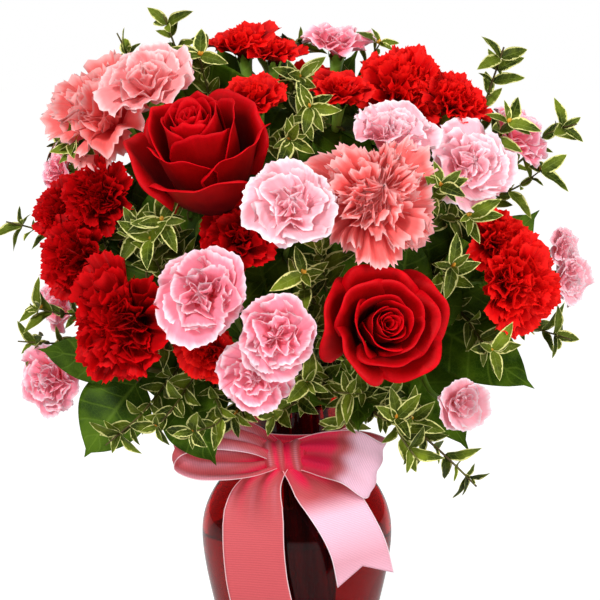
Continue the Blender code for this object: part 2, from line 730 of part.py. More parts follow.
def leaf(length, width, rings, fold, droop, wave, thickness):
    """A pointed leaf along +X, from a ball whose columns become its edges and its rib.

    A large leaf has four columns, so that it folds at its rib, and a small leaf has three.
    """
    columns = ("edge", "rib", "edge", "back") if rings > 2 else ("edge", "edge", "back")
    last = rings + 1
    bm = bmesh.new()
    bmesh.ops.create_uvsphere(bm, u_segments=len(columns), v_segments=last, radius=1.0)
    places = {}
    for vertex in bm.verts:
        level = round(math.acos(max(-1, min(1, -vertex.co.z))) / math.pi * last)
        column = round(math.atan2(vertex.co.y, vertex.co.x) / math.tau * len(columns))
        column %= len(columns)
        t = level / last
        half = 0.5 * width * math.sin(math.pi * t**0.8) ** 0.9 if 0 < level < last else 0
        side, raised = 0, 0
        if 0 < level < last:
            if columns[column] == "edge":
                side = 1 if column == 0 else -1
                raised = fold * half + wave * (1 if level % 2 else -1)
            else:
                raised = thickness / 2 * (1 if columns[column] == "rib" else -1)
        vertex.co = (length * t, side * half, raised - droop * length * t * t)
        places[vertex] = (level, side)
    for face in [f for f in bm.faces if len(f.verts) == 4]:
        low = max(face.verts, key=lambda v: (-places[v][0], abs(places[v][1]), places[v][1]))
        high = max(face.verts, key=lambda v: (places[v][0], -abs(places[v][1]), -places[v][1]))
        bmesh.utils.face_split(face, low, high)
    bmesh.ops.recalc_face_normals(bm, faces=bm.faces)
    return bm


def leaf_place(root, direction, roll):
    """A matrix that lays a leaf along a direction, its face upwards before it is rolled."""
    along = direction.normalized()
    across = Vector((0, 0, 1)).cross(along)
    if across.length < 0.1:
        across = Vector((1, 0, 0)).cross(along)
    across.normalize()
    frame = Matrix((along, across, along.cross(across))).transposed().to_4x4()
    return Matrix.Translation(root) @ frame @ Matrix.Rotation(roll, 4, "X")


def is_clear(name, bm, trees, balls):
    """Whether a leaf of a plant, a little swollen, meets no other node."""
    tree = BVHTree.FromBMesh(bm)
    if any(tree.overlap(other) for owner, other in trees if owner != name):
        return False
    middle = sum((v.co for v in bm.verts), Vector()) / len(bm.verts)
    return all((middle - centre).length > 0.8 * size for centre, size, _ in balls)


def tree_of(obj):
    bm = bmesh.new()
    bm.from_mesh(obj.data)
    tree = BVHTree.FromBMesh(bm)
    bm.free()
    return tree


def make_stems(plans, paths, materials):
    """The green stems with their calyxes, one node for each stem that stands in the vase."""
    bloom_of = {bloom[0]: bloom for bloom in BLOOMS}
    stems = {}
    for node, plan in enumerate(plans):
        if not plan["carried"]:
            continue
        pieces = []
        for path in paths:
            if path["node"] != node:
                continue
            points = list(path["points"])
            radii = [path["radius"]] * len(points)
            if path["kind"] == "main" and not path["blooms"]:
                radii[-1] *= FORK_SWELLING
            for bloom_name in path["blooms"]:
                bloom = bloom_of[bloom_name]
                look = facing(*bloom[3])
                base = bloom_base(bloom)
                cup = CUP_SHARE[bloom[1]] * bloom[4] * MM
                points += [base - look * CALYX_BELLY, base - look * GAP]
                radii += [0.8 * cup, cup]
            sides = 6 if path["blooms"] and path["kind"] == "main" else 4
            pieces.append(tube(plan["name"], points, radii, sides))
        stems[plan["name"]] = fuse(plan["name"], pieces, materials["stem"])
    return stems


def make_wood(paths, trees):
    """The bare stems and twigs of the leafy plants, before any leaf is set."""
    wood = {}
    for path in paths:
        name = path["name"]
        if name in SALAL or name in SPRIGS:
            stem = tube(name, path["points"], [path["radius"]] * len(path["points"]), sides=4)
            wood.setdefault(name, []).append(stem)
            trees.append((name, tree_of(stem)))
    return wood


def make_salal(wood, paths, materials, trees, balls):
    """Salal branches with large leaves."""
    for path in paths:
        if path["name"] not in SALAL:
            continue
        name = path["name"]
        pieces = wood[name]
        for root, tip, width, roll in SALAL[name][1]:
            root, tip = Vector(root) * MM, Vector(tip) * MM
            start = min(path["points"][2:], key=lambda p: (p - root).length)
            start = start - (tip - start).normalized() * ROOT_DEPTH
            length = (tip - start).length
            for turn in (0, 25, -25, 50, -50, 80, -80):
                place = leaf_place(start, tip - start, math.radians(roll + turn))
                test = leaf(length, width * MM + 1 * MM, SALAL_RINGS, 0.16, 0.1, 1 * MM, 2.6 * MM)
                test.transform(place)
                good = is_clear(name, test, trees, balls)
                test.free()
                if good:
                    break
            if not good:
                print("no room for a leaf of", name, "at", [round(c / MM) for c in tip])
                continue
            bm = leaf(length, width * MM, SALAL_RINGS, 0.16, 0.1, 1 * MM, 1.3 * MM)
            bm.transform(place)
            pieces.append(new_object(name + "_leaf", bm))
        trees.append((name, tree_of(fuse(name, pieces, materials["salal"]))))


def make_sprigs(wood, paths, materials, trees, balls):
    """Sprigs of small leaves in pairs, each pair turned a quarter from the last."""
    for number, name in enumerate(SPRIGS):
        draw = random.Random(SEED + number)
        pieces = wood[name]
        for path in [path for path in paths if path["name"] == name]:
            points = path["points"]
            for step, distance in enumerate(LEAF_NODES):
                node, along = back_from_tip(points, distance)
                side = along.orthogonal().normalized()
                side.rotate(Matrix.Rotation(step * math.pi / 2 + draw.uniform(-0.4, 0.4), 3, along))
                for hand in (1, -1)[: len(LEAF_NODES) - step]:
                    length = draw.uniform(15, 20) * MM
                    for turn in (0, 0.6, -0.6, 1.2, -1.2):
                        out = side * hand
                        out.rotate(Matrix.Rotation(turn, 3, along))
                        away = (along * 0.75 + out).normalized()
                        root = node - away * ROOT_DEPTH / 2
                        place = leaf_place(root, away, draw.uniform(-0.5, 0.5))
                        test = leaf(length + 1 * MM, 8.5 * MM, 2, 0.25, 0.12, 0, 2.6 * MM)
                        test.transform(place)
                        good = is_clear(name, test, trees, balls)
                        test.free()
                        if good:
                            break
                    if good:
                        bm = leaf(length, 7 * MM, 2, 0.25, 0.12, 0, 1.4 * MM)
                        bm.transform(place)
                        pieces.append(new_object(name + "_leaf", bm))
            tip = leaf(17 * MM, 6 * MM, 2, 0.25, 0.1, 0, 1.4 * MM)
            last = (points[-1] - points[-2]).normalized()
            tip.transform(leaf_place(points[-1] - last * 2 * ROOT_DEPTH, last, 0))
            pieces.append(new_object(name + "_leaf", tip))
        trees.append((name, tree_of(fuse(name, pieces, materials["sprig"]))))


def strip(name, line, across, widths, thickness=RIBBON_THICKNESS):
    """A ribbon along a line, as wide as given at each point, with its own thickness."""
    bm = bmesh.new()
    rows = []
    for place, side, width in zip(line, across, widths):
        half = side.normalized() * width / 2
        rows.append([bm.verts.new(place - half), bm.verts.new(place + half)])
    for low, high in zip(rows, rows[1:]):
        bm.faces.new((low[0], low[1], high[1], high[0]))
    bmesh.ops.recalc_face_normals(bm, faces=bm.faces)
    bmesh.ops.triangulate(bm, faces=bm.faces)
    obj = new_object(name, bm)
    shell = obj.modifiers.new("thickness", "SOLIDIFY")
    shell.thickness = thickness
    shell.offset = 0
    return applied(obj)


def make_ribbon(materials):
    """The band round the neck, and the bow: a knot, two loops and two tails."""
    inner = [(vase_radius(z) + BAND_CLEARANCE, z) for z in BAND_RINGS]
    outline = [(r + RIBBON_THICKNESS, z) for r, z in inner] + inner[::-1]
    band = turn_outline("ribbon_band", outline, materials["ribbon"], closed=True)
    back = Vector((0, BOW_BACK, 0))
    knot_at = Vector((-8, -43, 175)) * MM + back
    bm = bmesh.new()
    bmesh.ops.create_uvsphere(bm, u_segments=8, v_segments=4, radius=1.0)
    for vertex in bm.verts:
        pinch = 1 - 0.15 * abs(vertex.co.z)
        vertex.co = knot_at + Vector((
            vertex.co.x * 15 * MM * pinch, vertex.co.y * 6.5 * MM, vertex.co.z * 10 * MM
        ))
    pieces = [new_object("knot", bm)]
    up = Vector((0, 0, 1))
    loops = {
        "left": [(-10, -43, 176), (-32, -58, 184), (-58, -62, 184), (-76, -52, 180),
                 (-70, -42, 178), (-48, -44, 178), (-26, -43, 178), (-10, -42, 176)],
        "right": [(-8, -43, 176), (12, -60, 182), (34, -68, 176), (54, -62, 164),
                  (56, -52, 164), (38, -50, 170), (16, -46, 176), (-6, -42, 176)],
    }
    for side, waypoints in loops.items():
        line = through([Vector(p) * MM + back for p in waypoints], 2)
        lean = Vector((-0.10 if side == "left" else 0.34, 0, 1))
        count = len(line)
        opened = [math.sin(math.pi * i / (count - 1)) for i in range(count)]
        widths = [RIBBON_WIDTH * (0.42 + 0.5 * share) for share in opened]
        pieces.append(strip(side + "_loop", line, [lean] * count, widths))
    tails = {
        "left": ([(-12, -44, 172), (-24, -60, 158), (-27, -69, 130), (-26, -70, 100),
                  (-23, -66, 70), (-22, -60, 52)], (1, 0, 0.05)),
        "right": ([(-2, -44, 172), (16, -58, 158), (30, -68, 138), (40, -67, 116),
                   (47, -60, 94)], (1, 0.4, 0.2)),
    }
    for side, (waypoints, across) in tails.items():
        line = through([Vector(p) * MM + back for p in waypoints], 1)
        count = len(line)
        widths = [RIBBON_WIDTH * min(1, 0.5 + 1.6 * i / count) for i in range(count)]
        pieces.append(strip(side + "_tail", line, [Vector(across)] * count, widths))
    return band, fuse("ribbon_bow", pieces, materials["ribbon"])


def main():
    for obj in list(bpy.data.objects):
        bpy.data.objects.remove(obj)
    arrangement = bpy.data.collections.new("arrangement")
    bpy.context.scene.collection.children.link(arrangement)
    materials = {name: make_material(name, colour, 0.6) for name, colour in COLOURS.items()}

    heads = make_blooms(materials)
    balls = []
    for bloom in BLOOMS:
        name, kind, _, look, radius = bloom
        middle = bloom_base(bloom) + facing(*look) * BALL_MIDDLE[kind] * radius * MM
        balls.append((middle, BALL_SIZE * radius * MM, name))
    plans, paths = plan_stems(balls)
    stems = make_stems(plans, paths, materials)
    vase = make_vase()
    thick = {path["node"]: path["radius"] for path in paths if path["kind"] == "main"}
    make_water([(plan["foot"], plan["neck"], thick[i]) for i, plan in enumerate(plans)])
    band, bow = make_ribbon(materials)
    solids = [vase, band, bow, *heads.values(), *stems.values()]
    trees = [(solid.name, tree_of(solid)) for solid in solids]
    wood = make_wood(paths, trees)
    make_salal(wood, paths, materials, trees, balls)
    make_sprigs(wood, paths, materials, trees, balls)


main()
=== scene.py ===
import math
import random

import bmesh
import bpy
import numpy as np
from mathutils import Matrix, Vector
from mathutils.geometry import interpolate_bezier


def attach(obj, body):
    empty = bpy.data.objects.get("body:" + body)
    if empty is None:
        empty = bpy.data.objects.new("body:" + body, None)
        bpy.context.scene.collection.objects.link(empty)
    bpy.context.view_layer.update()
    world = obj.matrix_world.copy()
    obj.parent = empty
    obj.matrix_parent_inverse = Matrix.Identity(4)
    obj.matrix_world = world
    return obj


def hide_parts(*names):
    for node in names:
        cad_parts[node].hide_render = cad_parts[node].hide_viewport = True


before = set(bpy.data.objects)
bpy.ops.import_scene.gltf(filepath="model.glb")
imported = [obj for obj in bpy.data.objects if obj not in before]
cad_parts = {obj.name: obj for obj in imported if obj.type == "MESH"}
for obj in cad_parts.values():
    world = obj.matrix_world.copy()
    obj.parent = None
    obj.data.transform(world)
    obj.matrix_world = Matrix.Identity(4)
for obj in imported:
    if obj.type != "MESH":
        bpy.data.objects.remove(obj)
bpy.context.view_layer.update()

mm = 0.001
goldenTurn = 2.39996  # radians from one petal or leaf to the next
headTurn = 0.7  # radians from one frilled head to the next
upwards = Vector((0, 0, 1))

# Node trees are written as sums of wires: each sign makes one Math node

class Wire:
    def __init__(self, tree, socket):
        self.tree, self.socket = tree, socket

    def math(self, operation, *others):
        node = self.tree.nodes.new("ShaderNodeMath")
        node.operation = operation
        for value, socket in zip((self, *others), node.inputs):
            plug(self.tree, value, socket)
        return Wire(self.tree, node.outputs[0])

    def __add__(self, other):
        return self.math("ADD", other)

    def __sub__(self, other):
        return self.math("SUBTRACT", other)

    def __mul__(self, other):
        return self.math("MULTIPLY", other)

    def __truediv__(self, other):
        return self.math("DIVIDE", other)

    def __pow__(self, other):
        return self.math("POWER", other)

    def sin(self):
        return self.math("SINE")

    def cos(self):
        return self.math("COSINE")

    def between(self, low, high):  # 0 below low, 1 above high, smooth between
        node = self.tree.nodes.new("ShaderNodeMapRange")
        node.interpolation_type = "SMOOTHSTEP"
        for name, value in (("Value", self), ("From Min", low), ("From Max", high)):
            plug(self.tree, value, node.inputs[name])
        return Wire(self.tree, node.outputs["Result"])

    def into(self, kind, settings=None, **inputs):  # geometry goes on through a node
        return place(self.tree, "GeometryNode" + kind, settings=settings, Geometry=self, **inputs)


def plug(tree, value, socket):  # a wire or a value; colours are written without their alpha
    if isinstance(value, Wire):
        tree.links.new(value.socket, socket)
    else:
        socket.default_value = (*value, 1) if socket.type == "RGBA" else value


def place(tree, kind, output=0, settings=None, **inputs):  # adds a node and wires its inputs
    node = tree.nodes.new(kind)
    for name, value in (settings or {}).items():
        setattr(node, name, value)
    for name, value in inputs.items():
        plug(tree, value, node.inputs[name.replace("_", " ")])
    return Wire(tree, node.outputs[output])


def newTree(name, kind, inputs, outputs):
    # an input is given by its value, or by its socket's kind where it has no value
    tree = bpy.data.node_groups.new(name, kind)
    for label, value in inputs.items():
        socketKind = {float: "Float", int: "Int", tuple: "Color"}.get(type(value), value)
        socket = tree.interface.new_socket(
            label, in_out="INPUT", socket_type="NodeSocket" + socketKind)
        if socketKind != value:
            socket.default_value = (*value, 1) if socketKind == "Color" else value
    for label, socketKind in outputs.items():
        tree.interface.new_socket(label, in_out="OUTPUT", socket_type="NodeSocket" + socketKind)
    entry = tree.nodes.new("NodeGroupInput")
    leave = tree.nodes.new("NodeGroupOutput")
    wires = {label: Wire(tree, entry.outputs[label]) for label in inputs}
    return tree, wires, leave


def finishTree(tree, leave, **results):
    for label, wire in results.items():
        plug(tree, wire, leave.inputs[label])
    return tree


def combine(x, y, z):
    return place(x.tree, "ShaderNodeCombineXYZ", X=x, Y=y, Z=z)


def separate(vector):
    parts = place(vector.tree, "ShaderNodeSeparateXYZ", Vector=vector).socket.node.outputs
    return [Wire(vector.tree, part) for part in parts]


def objectSpot(tree):  # where a point lies on its piece
    return place(tree, "ShaderNodeTexCoord", output="Object")


def addObject(name, data):
    made = bpy.data.objects.new(name, data)
    bpy.context.collection.objects.link(made)
    return made


def newMaterial(name, group=None, bump=0.0, bumpDistance=0.0, shaderValues=None, glow=False,
                **groupValues):
    material = bpy.data.materials.new(name)
    material.use_nodes = True
    tree = material.node_tree
    shader = tree.nodes["Principled BSDF"]
    for label, value in (shaderValues or {}).items():
        plug(tree, value, shader.inputs[label])
    if group:
        colour = place(tree, "ShaderNodeGroup", settings={"node_tree": group}, **groupValues)
        roughness, height = (Wire(tree, colour.socket.node.outputs[label])
                             for label in ("Roughness", "Height"))
        relief = place(tree, "ShaderNodeBump", Strength=bump, Distance=bumpDistance, Height=height)
        joined = {"Base Color": colour, "Roughness": roughness, "Normal": relief}
        if glow:  # a painted glow: the surface emits its own colour, standing in for light that shines through thin petals from behind
            joined["Emission Color"] = colour
        for label, wire in joined.items():
            plug(tree, wire, shader.inputs[label])
    return material


# Camera and lights

viewpoint = {
    "aim": (0.002, 0, 0.268),
    "distance": 1.8,
    "elevation": 8,  # degrees above level
    "spanAtAim": 0.381,  # metres across the picture at the aim point
    "sensor": 36,
}
studio = {
    "ambient": 0.32,  # how strongly the white room lights the surfaces
    "seenThroughGlass": 1.0, "seenInGloss": 0.10, "floorInGloss": 0.22,
    "floorTone": 0.70, "floorHalf": 6,
    "floorGlowNear": 0.62, "floorGlowFar": 0.78, "glowReach": (0.2, 2.4),
    "lights": {  # place, width, height, watts
        "keyLight": ((-0.9, -1.5, 1.5), 0.45, 0.45, 27),
        "fillLight": ((1.5, -1.3, 0.8), 0.8, 1.0, 20),
        "topLight": ((0.1, 0.3, 2.0), 1.2, 1.2, 8),
        "windowLight": ((-0.75, -1.5, 0.25), 0.22, 0.75, 2.4),
        "sideLight": ((1.3, -0.9, 0.3), 0.18, 0.8, 2.4),
    },
}


def lookAtAim(thing):
    towards = Vector(viewpoint["aim"]) - thing.location
    thing.rotation_euler = towards.to_track_quat("-Z", "Y").to_euler()


def makeCamera():
    data = bpy.data.cameras.new("camera")
    data.sensor_width = viewpoint["sensor"]
    data.lens = viewpoint["sensor"] * viewpoint["distance"] / viewpoint["spanAtAim"]
    camera = addObject("camera", data)
    up = math.radians(viewpoint["elevation"])
    away = Vector((0, -math.cos(up), math.sin(up)))
    camera.location = Vector(viewpoint["aim"]) + viewpoint["distance"] * away
    lookAtAim(camera)
    bpy.context.scene.camera = camera


def rayKinds(tree):  # seen by the camera or through glass, and seen as a reflection
    path = tree.nodes.new("ShaderNodeLightPath")
    camera, through, gloss = (Wire(tree, path.outputs[name]) for name in (
        "Is Camera Ray", "Is Transmission Ray", "Is Glossy Ray"))
    return camera.math("MAXIMUM", through), gloss


def makeStudio():
    for name, (spot, width, height, watts) in studio["lights"].items():
        data = bpy.data.lights.new(name, "AREA")
        data.shape, data.size, data.size_y, data.energy = "RECTANGLE", width, height, watts
        lamp = addObject(name, data)
        lamp.location = spot
        lookAtAim(lamp)
    world = bpy.data.worlds.new("studio")
    world.use_nodes = True
    tree = world.node_tree
    backdrop = tree.nodes["Background"]
    plug(tree, (1, 1, 1), backdrop.inputs["Color"])
    seen, gloss = rayKinds(tree)
    dim = gloss * (studio["seenInGloss"] - studio["ambient"]) + studio["ambient"]
    plug(tree, dim + (dim * -1 + studio["seenThroughGlass"]) * seen, backdrop.inputs["Strength"])
    bpy.context.scene.world = world
    bpy.context.scene.view_settings.view_transform = "Standard"


def makeFloor():
    mesh = bpy.data.meshes.new("floor")
    half = studio["floorHalf"]
    corners = [(-half, -half, 0), (half, -half, 0), (half, half, 0), (-half, half, 0)]
    mesh.from_pydata(corners, [], [(0, 1, 2, 3)])
    paint = newMaterial("floorPaint", shaderValues={
        "Base Color": [studio["floorTone"]] * 3, "Roughness": 0.8, "Specular IOR Level": 0.0,
        "Emission Color": (1, 1, 1),
    })
    tree = paint.node_tree
    x, y, _ = separate(objectSpot(tree))
    reach = ((x * x + y * y) ** 0.5).between(*studio["glowReach"])
    near, far = studio["floorGlowNear"], studio["floorGlowFar"]
    seen, gloss = rayKinds(tree)  # the pale floor shows in the lower half of the glass
    plug(tree, (reach * (far - near) + near) * (seen + gloss * studio["floorInGloss"]),
         tree.nodes["Principled BSDF"].inputs["Emission Strength"])
    mesh.materials.append(paint)
    addObject("floor", mesh)


makeCamera()
makeStudio()
makeFloor()
print("camera and studio ready")


# Shared effects for the materials

def mixed(share, one, other):
    node = share.tree.nodes.new("ShaderNodeMix")
    node.data_type = "RGBA"
    colours = [socket for socket in node.inputs if socket.type == "RGBA"]
    for value, socket in zip((share, one, other), (node.inputs["Factor"], *colours)):
        plug(share.tree, value, socket)
    return Wire(share.tree, next(socket for socket in node.outputs if socket.type == "RGBA"))


def noise(vector, scale, detail=2.0):
    return place(vector.tree, "ShaderNodeTexNoise", Vector=vector, Scale=scale, Detail=detail)


def shaded(colour, shade):
    return place(colour.tree, "ShaderNodeVectorMath", settings={"operation": "SCALE"},
                 Vector=colour, Scale=shade)


def newEffect(name, inputs):  # a shader group that reads a piece's map and tone
    outputs = {"Color": "Color", "Roughness": "Float", "Height": "Float"}
    tree, given, leave = newTree(name, "ShaderNodeTree", inputs, outputs)
    across, along, _ = separate(place(tree, "ShaderNodeUVMap", settings={"uv_map": "UVMap"}))
    tone = place(tree, "ShaderNodeAttribute", output="Fac", settings={"attribute_name": "tone"})
    return tree, given, leave, across, along, tone


def buildPetalTone():
    tree, given, leave, across, along, tone = newEffect("petalTone", {
        "Deep": "Color", "Pale": "Color", "Rim": "Color",
        "Rim Start": "Float", "Fade": "Float", "Veins": "Float",
    })
    cloud = noise(objectSpot(tree), 90)
    streaks = noise(combine(across * 26, along * 1.6, tone * 40), 1.0, 3.0)
    # the petal darkens to its deep colour at the foot; on the reds this is painted shade in the
    # bloom's hollows
    inner = mixed((along + cloud * 0.3 - 0.15).between(0.22, given["Fade"]),
                  given["Deep"], given["Pale"])
    # the rim colour: the pinks' own pale rims, and a painted highlight on the reds' rims
    edge = (along + streaks * 0.06 - 0.03).between(given["Rim Start"], 1.02)
    colour = mixed(edge, inner, given["Rim"])
    shade = (tone * 0.22 + 0.89) * ((streaks - 0.5) * given["Veins"] * 0.5 + 1)
    fine = noise(combine(across * 60, along * 3, tone * 10), 1.0)
    return finishTree(tree, leave, Color=shaded(colour, shade),
                      Roughness=cloud * 0.2 + 0.46, Height=streaks * 0.7 + fine * 0.3)


def buildLeafVeins():
    tree, given, leave, across, along, tone = newEffect("leafVeins", {
        "Blade": "Color", "Light": "Color", "Vein": "Color", "Side Veins": "Float", "Net": "Float",
        "Margin": "Color", "Margin Width": 0.0,  # only the sprigs' leaves have a margin
    })
    side = (across - 0.5).math("ABSOLUTE") * 2
    patch = noise(objectSpot(tree), 60, 3.0)
    rib = side.between(0.09, 0.0)
    sweep = (along - side * 0.16) * given["Side Veins"] + patch * 0.25
    branch = (sweep.math("FRACT") - 0.5).math("ABSOLUTE").between(0.10, 0.0)
    cell = place(tree, "ShaderNodeTexVoronoi", settings={"feature": "DISTANCE_TO_EDGE"},
                 Vector=combine(across * 0.5, along, tone * 9), Scale=given["Net"])
    net = cell.between(0.10, 0.0)
    veins = (rib + branch * 0.7 + net * 0.3).math("MINIMUM", 1.0)
    blade = mixed(patch.between(0.3, 0.75), given["Blade"], given["Light"])
    veined = mixed(veins * 0.55, blade, given["Vein"])
    wander = noise(combine(across * 2, along * 5, tone * 30), 1.6, 3.0)
    start = given["Margin Width"] * -1 + 1
    border = (side + (wander - 0.5) * 0.70).between(start, start + 0.06)
    pointed = along.between(0.93, 0.98)
    shown = border.math("MAXIMUM", pointed) * given["Margin Width"].between(0.0, 0.02)
    colour = mixed(shown, veined, given["Margin"])
    relief = rib * -1.0 + branch * -0.6 + net * -0.25 + patch * 0.2
    # the tone scales the colour: mostly at random on the leaves, and as painted shade on the stems
    # against their calyxes
    return finishTree(tree, leave, Color=shaded(colour, tone * 0.5 + 0.75),
                      Roughness=patch * 0.20 + 0.36, Height=relief)


def buildClothRibs():  # the V of the ribbon's map is its length in metres
    tree, given, leave, across, along, tone = newEffect("clothRibs", {
        "Fold": "Color", "Cloth": "Color", "Pale": "Color", "Rib Pitch": 0.0011,
    })
    rib = (along / given["Rib Pitch"] * math.tau).sin() * 0.5 + 0.5
    side = (across - 0.5).math("ABSOLUTE") * 2
    selvedge = side.between(0.96, 0.985)
    thread = noise(combine(across * 60, along * 900, 0.0), 1.0)
    # painted light on the satin: low tones take the saturated fold colour painted into folds and
    # creases, 0.4 the cloth's own colour, high tones the pale painted highlight
    cloth = mixed(tone.between(0.0, 0.4), given["Fold"], given["Cloth"])
    cloth = mixed(tone.between(0.4, 1.0), cloth, given["Pale"])
    cloth = shaded(cloth, rib * 0.22 + thread * 0.14 + 0.76)
    return finishTree(tree, leave, Color=mixed(selvedge * 0.55, cloth, (1, 0.9, 0.93)),
                      Roughness=rib * -0.1 + 0.6, Height=rib * 0.8 + thread * 0.2 + selvedge * 0.5)


petalTone = buildPetalTone()
leafVeins = buildLeafVeins()
clothRibs = buildClothRibs()

petalColours = {  # deep inside, the blade, the rim; the reds' near-black deep colour is painted shade in their hollows and their bright rim a painted highlight, while the pinks' deeper hearts and pale rims are their own colours
    "rose": ((0.05, 0.0, 0.001), (0.38, 0.0, 0.001), (0.66, 0.0, 0.005)),
    "crimson": ((0.06, 0.0, 0.001), (0.38, 0.0, 0.001), (0.66, 0.001, 0.003)),
    "red": ((0.14, 0.0, 0.001), (0.66, 0.001, 0.002), (0.92, 0.012, 0.008)),
    "salmon": ((0.62, 0.015, 0.020), (0.91, 0.19, 0.18), (0.97, 0.56, 0.55)),
    "coral": ((0.86, 0.05, 0.05), (0.92, 0.32, 0.33), (0.97, 0.68, 0.68)),
    "pink": ((0.86, 0.07, 0.10), (0.90, 0.27, 0.36), (0.98, 0.74, 0.80)),
    "blush": ((0.90, 0.20, 0.24), (0.93, 0.44, 0.51), (0.98, 0.81, 0.85)),
}
otherTones = {  # blooms of another tone than their slot's own
    "carnation_red_front": "crimson", "carnation_red_left_a": "crimson",
    "carnation_red_left_b": "crimson", "carnation_red_left_c": "crimson",
    "spray_red_middle": "crimson", "spray_pink_low_right": "blush",
}


def petalMaterial(colour):
    deep, pale, rim = petalColours[colour]
    isRed = colour in ("rose", "red", "crimson")
    velvetAndGlow = {
        "Sheen Weight": 0.03 if isRed else 0.08, "Sheen Roughness": 0.4,
        "Specular IOR Level": 0.10, "Sheen Tint": (1, 0.2, 0.2) if isRed else (1, 0.8, 0.8),
        "Subsurface Weight": 0.0 if isRed else 0.25, "Subsurface Scale": 2.5 * mm,
        # Emission Strength sets the petals' painted glow, standing in for light shining through
        # them
        "Subsurface Radius": (1.0, 0.35, 0.30), "Emission Strength": 0.025 if isRed else 0.07,
    }
    return newMaterial(
        colour + "Petal", petalTone, 0.30, 0.4 * mm, velvetAndGlow, glow=True, Deep=deep, Pale=pale,
        Rim=rim, Rim_Start=0.84 if isRed else 0.88, Veins=0.45 if colour == "rose" else 0.6,
        Fade=0.95 if isRed or colour == "salmon" else 0.72,
    )


materials = {colour: petalMaterial(colour) for colour in petalColours}
materials["salal"] = newMaterial(
    "salalLeaf", leafVeins, 0.5, 0.5 * mm, {"Specular IOR Level": 0.07},
    Blade=(0.020, 0.052, 0.002), Light=(0.085, 0.165, 0.007), Vein=(0.14, 0.24, 0.02),
    Side_Veins=6.0, Net=34.0,
)
materials["sprig"] = newMaterial(
    "sprigLeaf", leafVeins, 0.4, 0.3 * mm, {"Specular IOR Level": 0.08},
    Blade=(0.013, 0.026, 0.001), Light=(0.165, 0.215, 0.012), Vein=(0.20, 0.26, 0.04),
    Margin=(0.68, 0.67, 0.24), Margin_Width=0.24, Side_Veins=5.0, Net=14.0,
)
materials["stem"] = newMaterial(
    "greenStem", leafVeins, 0.2, 0.2 * mm, {"Specular IOR Level": 0.3},
    Blade=(0.11, 0.23, 0.015), Light=(0.24, 0.40, 0.04), Vein=(0.26, 0.42, 0.08),
    Side_Veins=3.0, Net=8.0,
)
materials["wood"] = newMaterial(
    "woodyStem", leafVeins, 0.4, 0.2 * mm, {"Specular IOR Level": 0.2},
    Blade=(0.07, 0.045, 0.015), Light=(0.15, 0.15, 0.03), Vein=(0.12, 0.08, 0.03),
    Side_Veins=2.0, Net=12.0,
)
materials["bud"] = newMaterial(
    "sprigBud", leafVeins, 0.2, 0.1 * mm, {"Specular IOR Level": 0.3},
    Blade=(0.50, 0.16, 0.01), Light=(0.75, 0.42, 0.03), Vein=(0.60, 0.35, 0.03),
    Side_Veins=2.0, Net=6.0,
)
# the ribbon's Emission Strength is a painted glow that lifts its shaded parts; Fold is the
# saturated colour painted into its folds and creases, Pale its painted highlight, Cloth its own
# colour
materials["ribbon"] = newMaterial(
    "ribbonCloth", clothRibs, 0.5, 0.25 * mm,
    {"Sheen Weight": 0.12, "Sheen Roughness": 0.4, "Specular IOR Level": 0.25,
     "Emission Strength": 0.17}, glow=True,
    Fold=(0.84, 0.014, 0.075), Cloth=(0.55, 0.082, 0.094), Pale=(0.88, 0.52, 0.65),
)
materials["glass"] = newMaterial("rubyGlass", shaderValues={
    "Base Color": (0.39, 0.0, 0.001), "Roughness": 0.02, "Transmission Weight": 1.0, "IOR": 1.27,
})
materials["water"] = newMaterial("stillWater", shaderValues={
    "Base Color": (0.9, 0.93, 0.93), "Roughness": 0.0, "Transmission Weight": 1.0, "IOR": 1.33,
})
print("materials ready")


# Meshes that are built row by row

def blend(one, other, share):
    return one + (other - one) * share


def axes(rows, columns):  # 0 to 1 down the rows, -1 to 1 across the columns
    return np.linspace(0, 1, rows)[:, None], np.linspace(-1, 1, columns)[None, :]


def metres(points):  # points that are given in mm
    return [Vector(point) * mm for point in points]


def newBuild():
    return {"points": [], "faces": [], "uv": [], "tone": [], "count": 0}


def addGrid(build, grid, tone=0.5, closed=False, uv=None):
    # grid is (rows, columns, 3); a closed grid joins its last column to its first
    rows, columns, _ = grid.shape
    first = build["count"]
    build["points"].append(grid.reshape(-1, 3))
    numbers = first + np.arange(rows * columns).reshape(rows, columns)
    if closed:
        numbers = np.concatenate([numbers, numbers[:, :1]], axis=1)
    a, b = numbers[:-1, :-1], numbers[:-1, 1:]
    c, d = numbers[1:, 1:], numbers[1:, :-1]
    build["faces"].append(np.stack([a, b, c, d], axis=-1).reshape(-1, 4))
    if uv is None:
        width = columns if closed else columns - 1
        across, along = np.meshgrid(
            np.arange(numbers.shape[1]) / width, np.arange(rows) / (rows - 1))
        uv = np.stack([across, along], axis=-1)
    corners = [uv[:-1, :-1], uv[:-1, 1:], uv[1:, 1:], uv[1:, :-1]]
    build["uv"].append(np.stack(corners, axis=-2).reshape(-1, 2))
    tones = np.broadcast_to(np.asarray(tone, float), (rows, columns)).reshape(-1)
    build["tone"].append(tones)
    build["count"] += rows * columns


def meshOf(build, name, material, solid=0.0):
    mesh = bpy.data.meshes.new(name)
    points, faces = np.concatenate(build["points"]), np.concatenate(build["faces"])
    mesh.from_pydata(points.tolist(), [], faces.tolist())
    layer = mesh.uv_layers.new(name="UVMap")
    layer.data.foreach_set("uv", np.concatenate(build["uv"]).astype(np.float32).ravel())
    tone = mesh.attributes.new("tone", "FLOAT", "POINT")
    tone.data.foreach_set("value", np.concatenate(build["tone"]).astype(np.float32))
    mesh.materials.append(material)
    mesh.shade_smooth()
    piece = addObject(name, mesh)
    if solid:
        shell = piece.modifiers.new("thickness", "SOLIDIFY")
        shell.thickness, shell.offset = solid, 0.0
    return piece


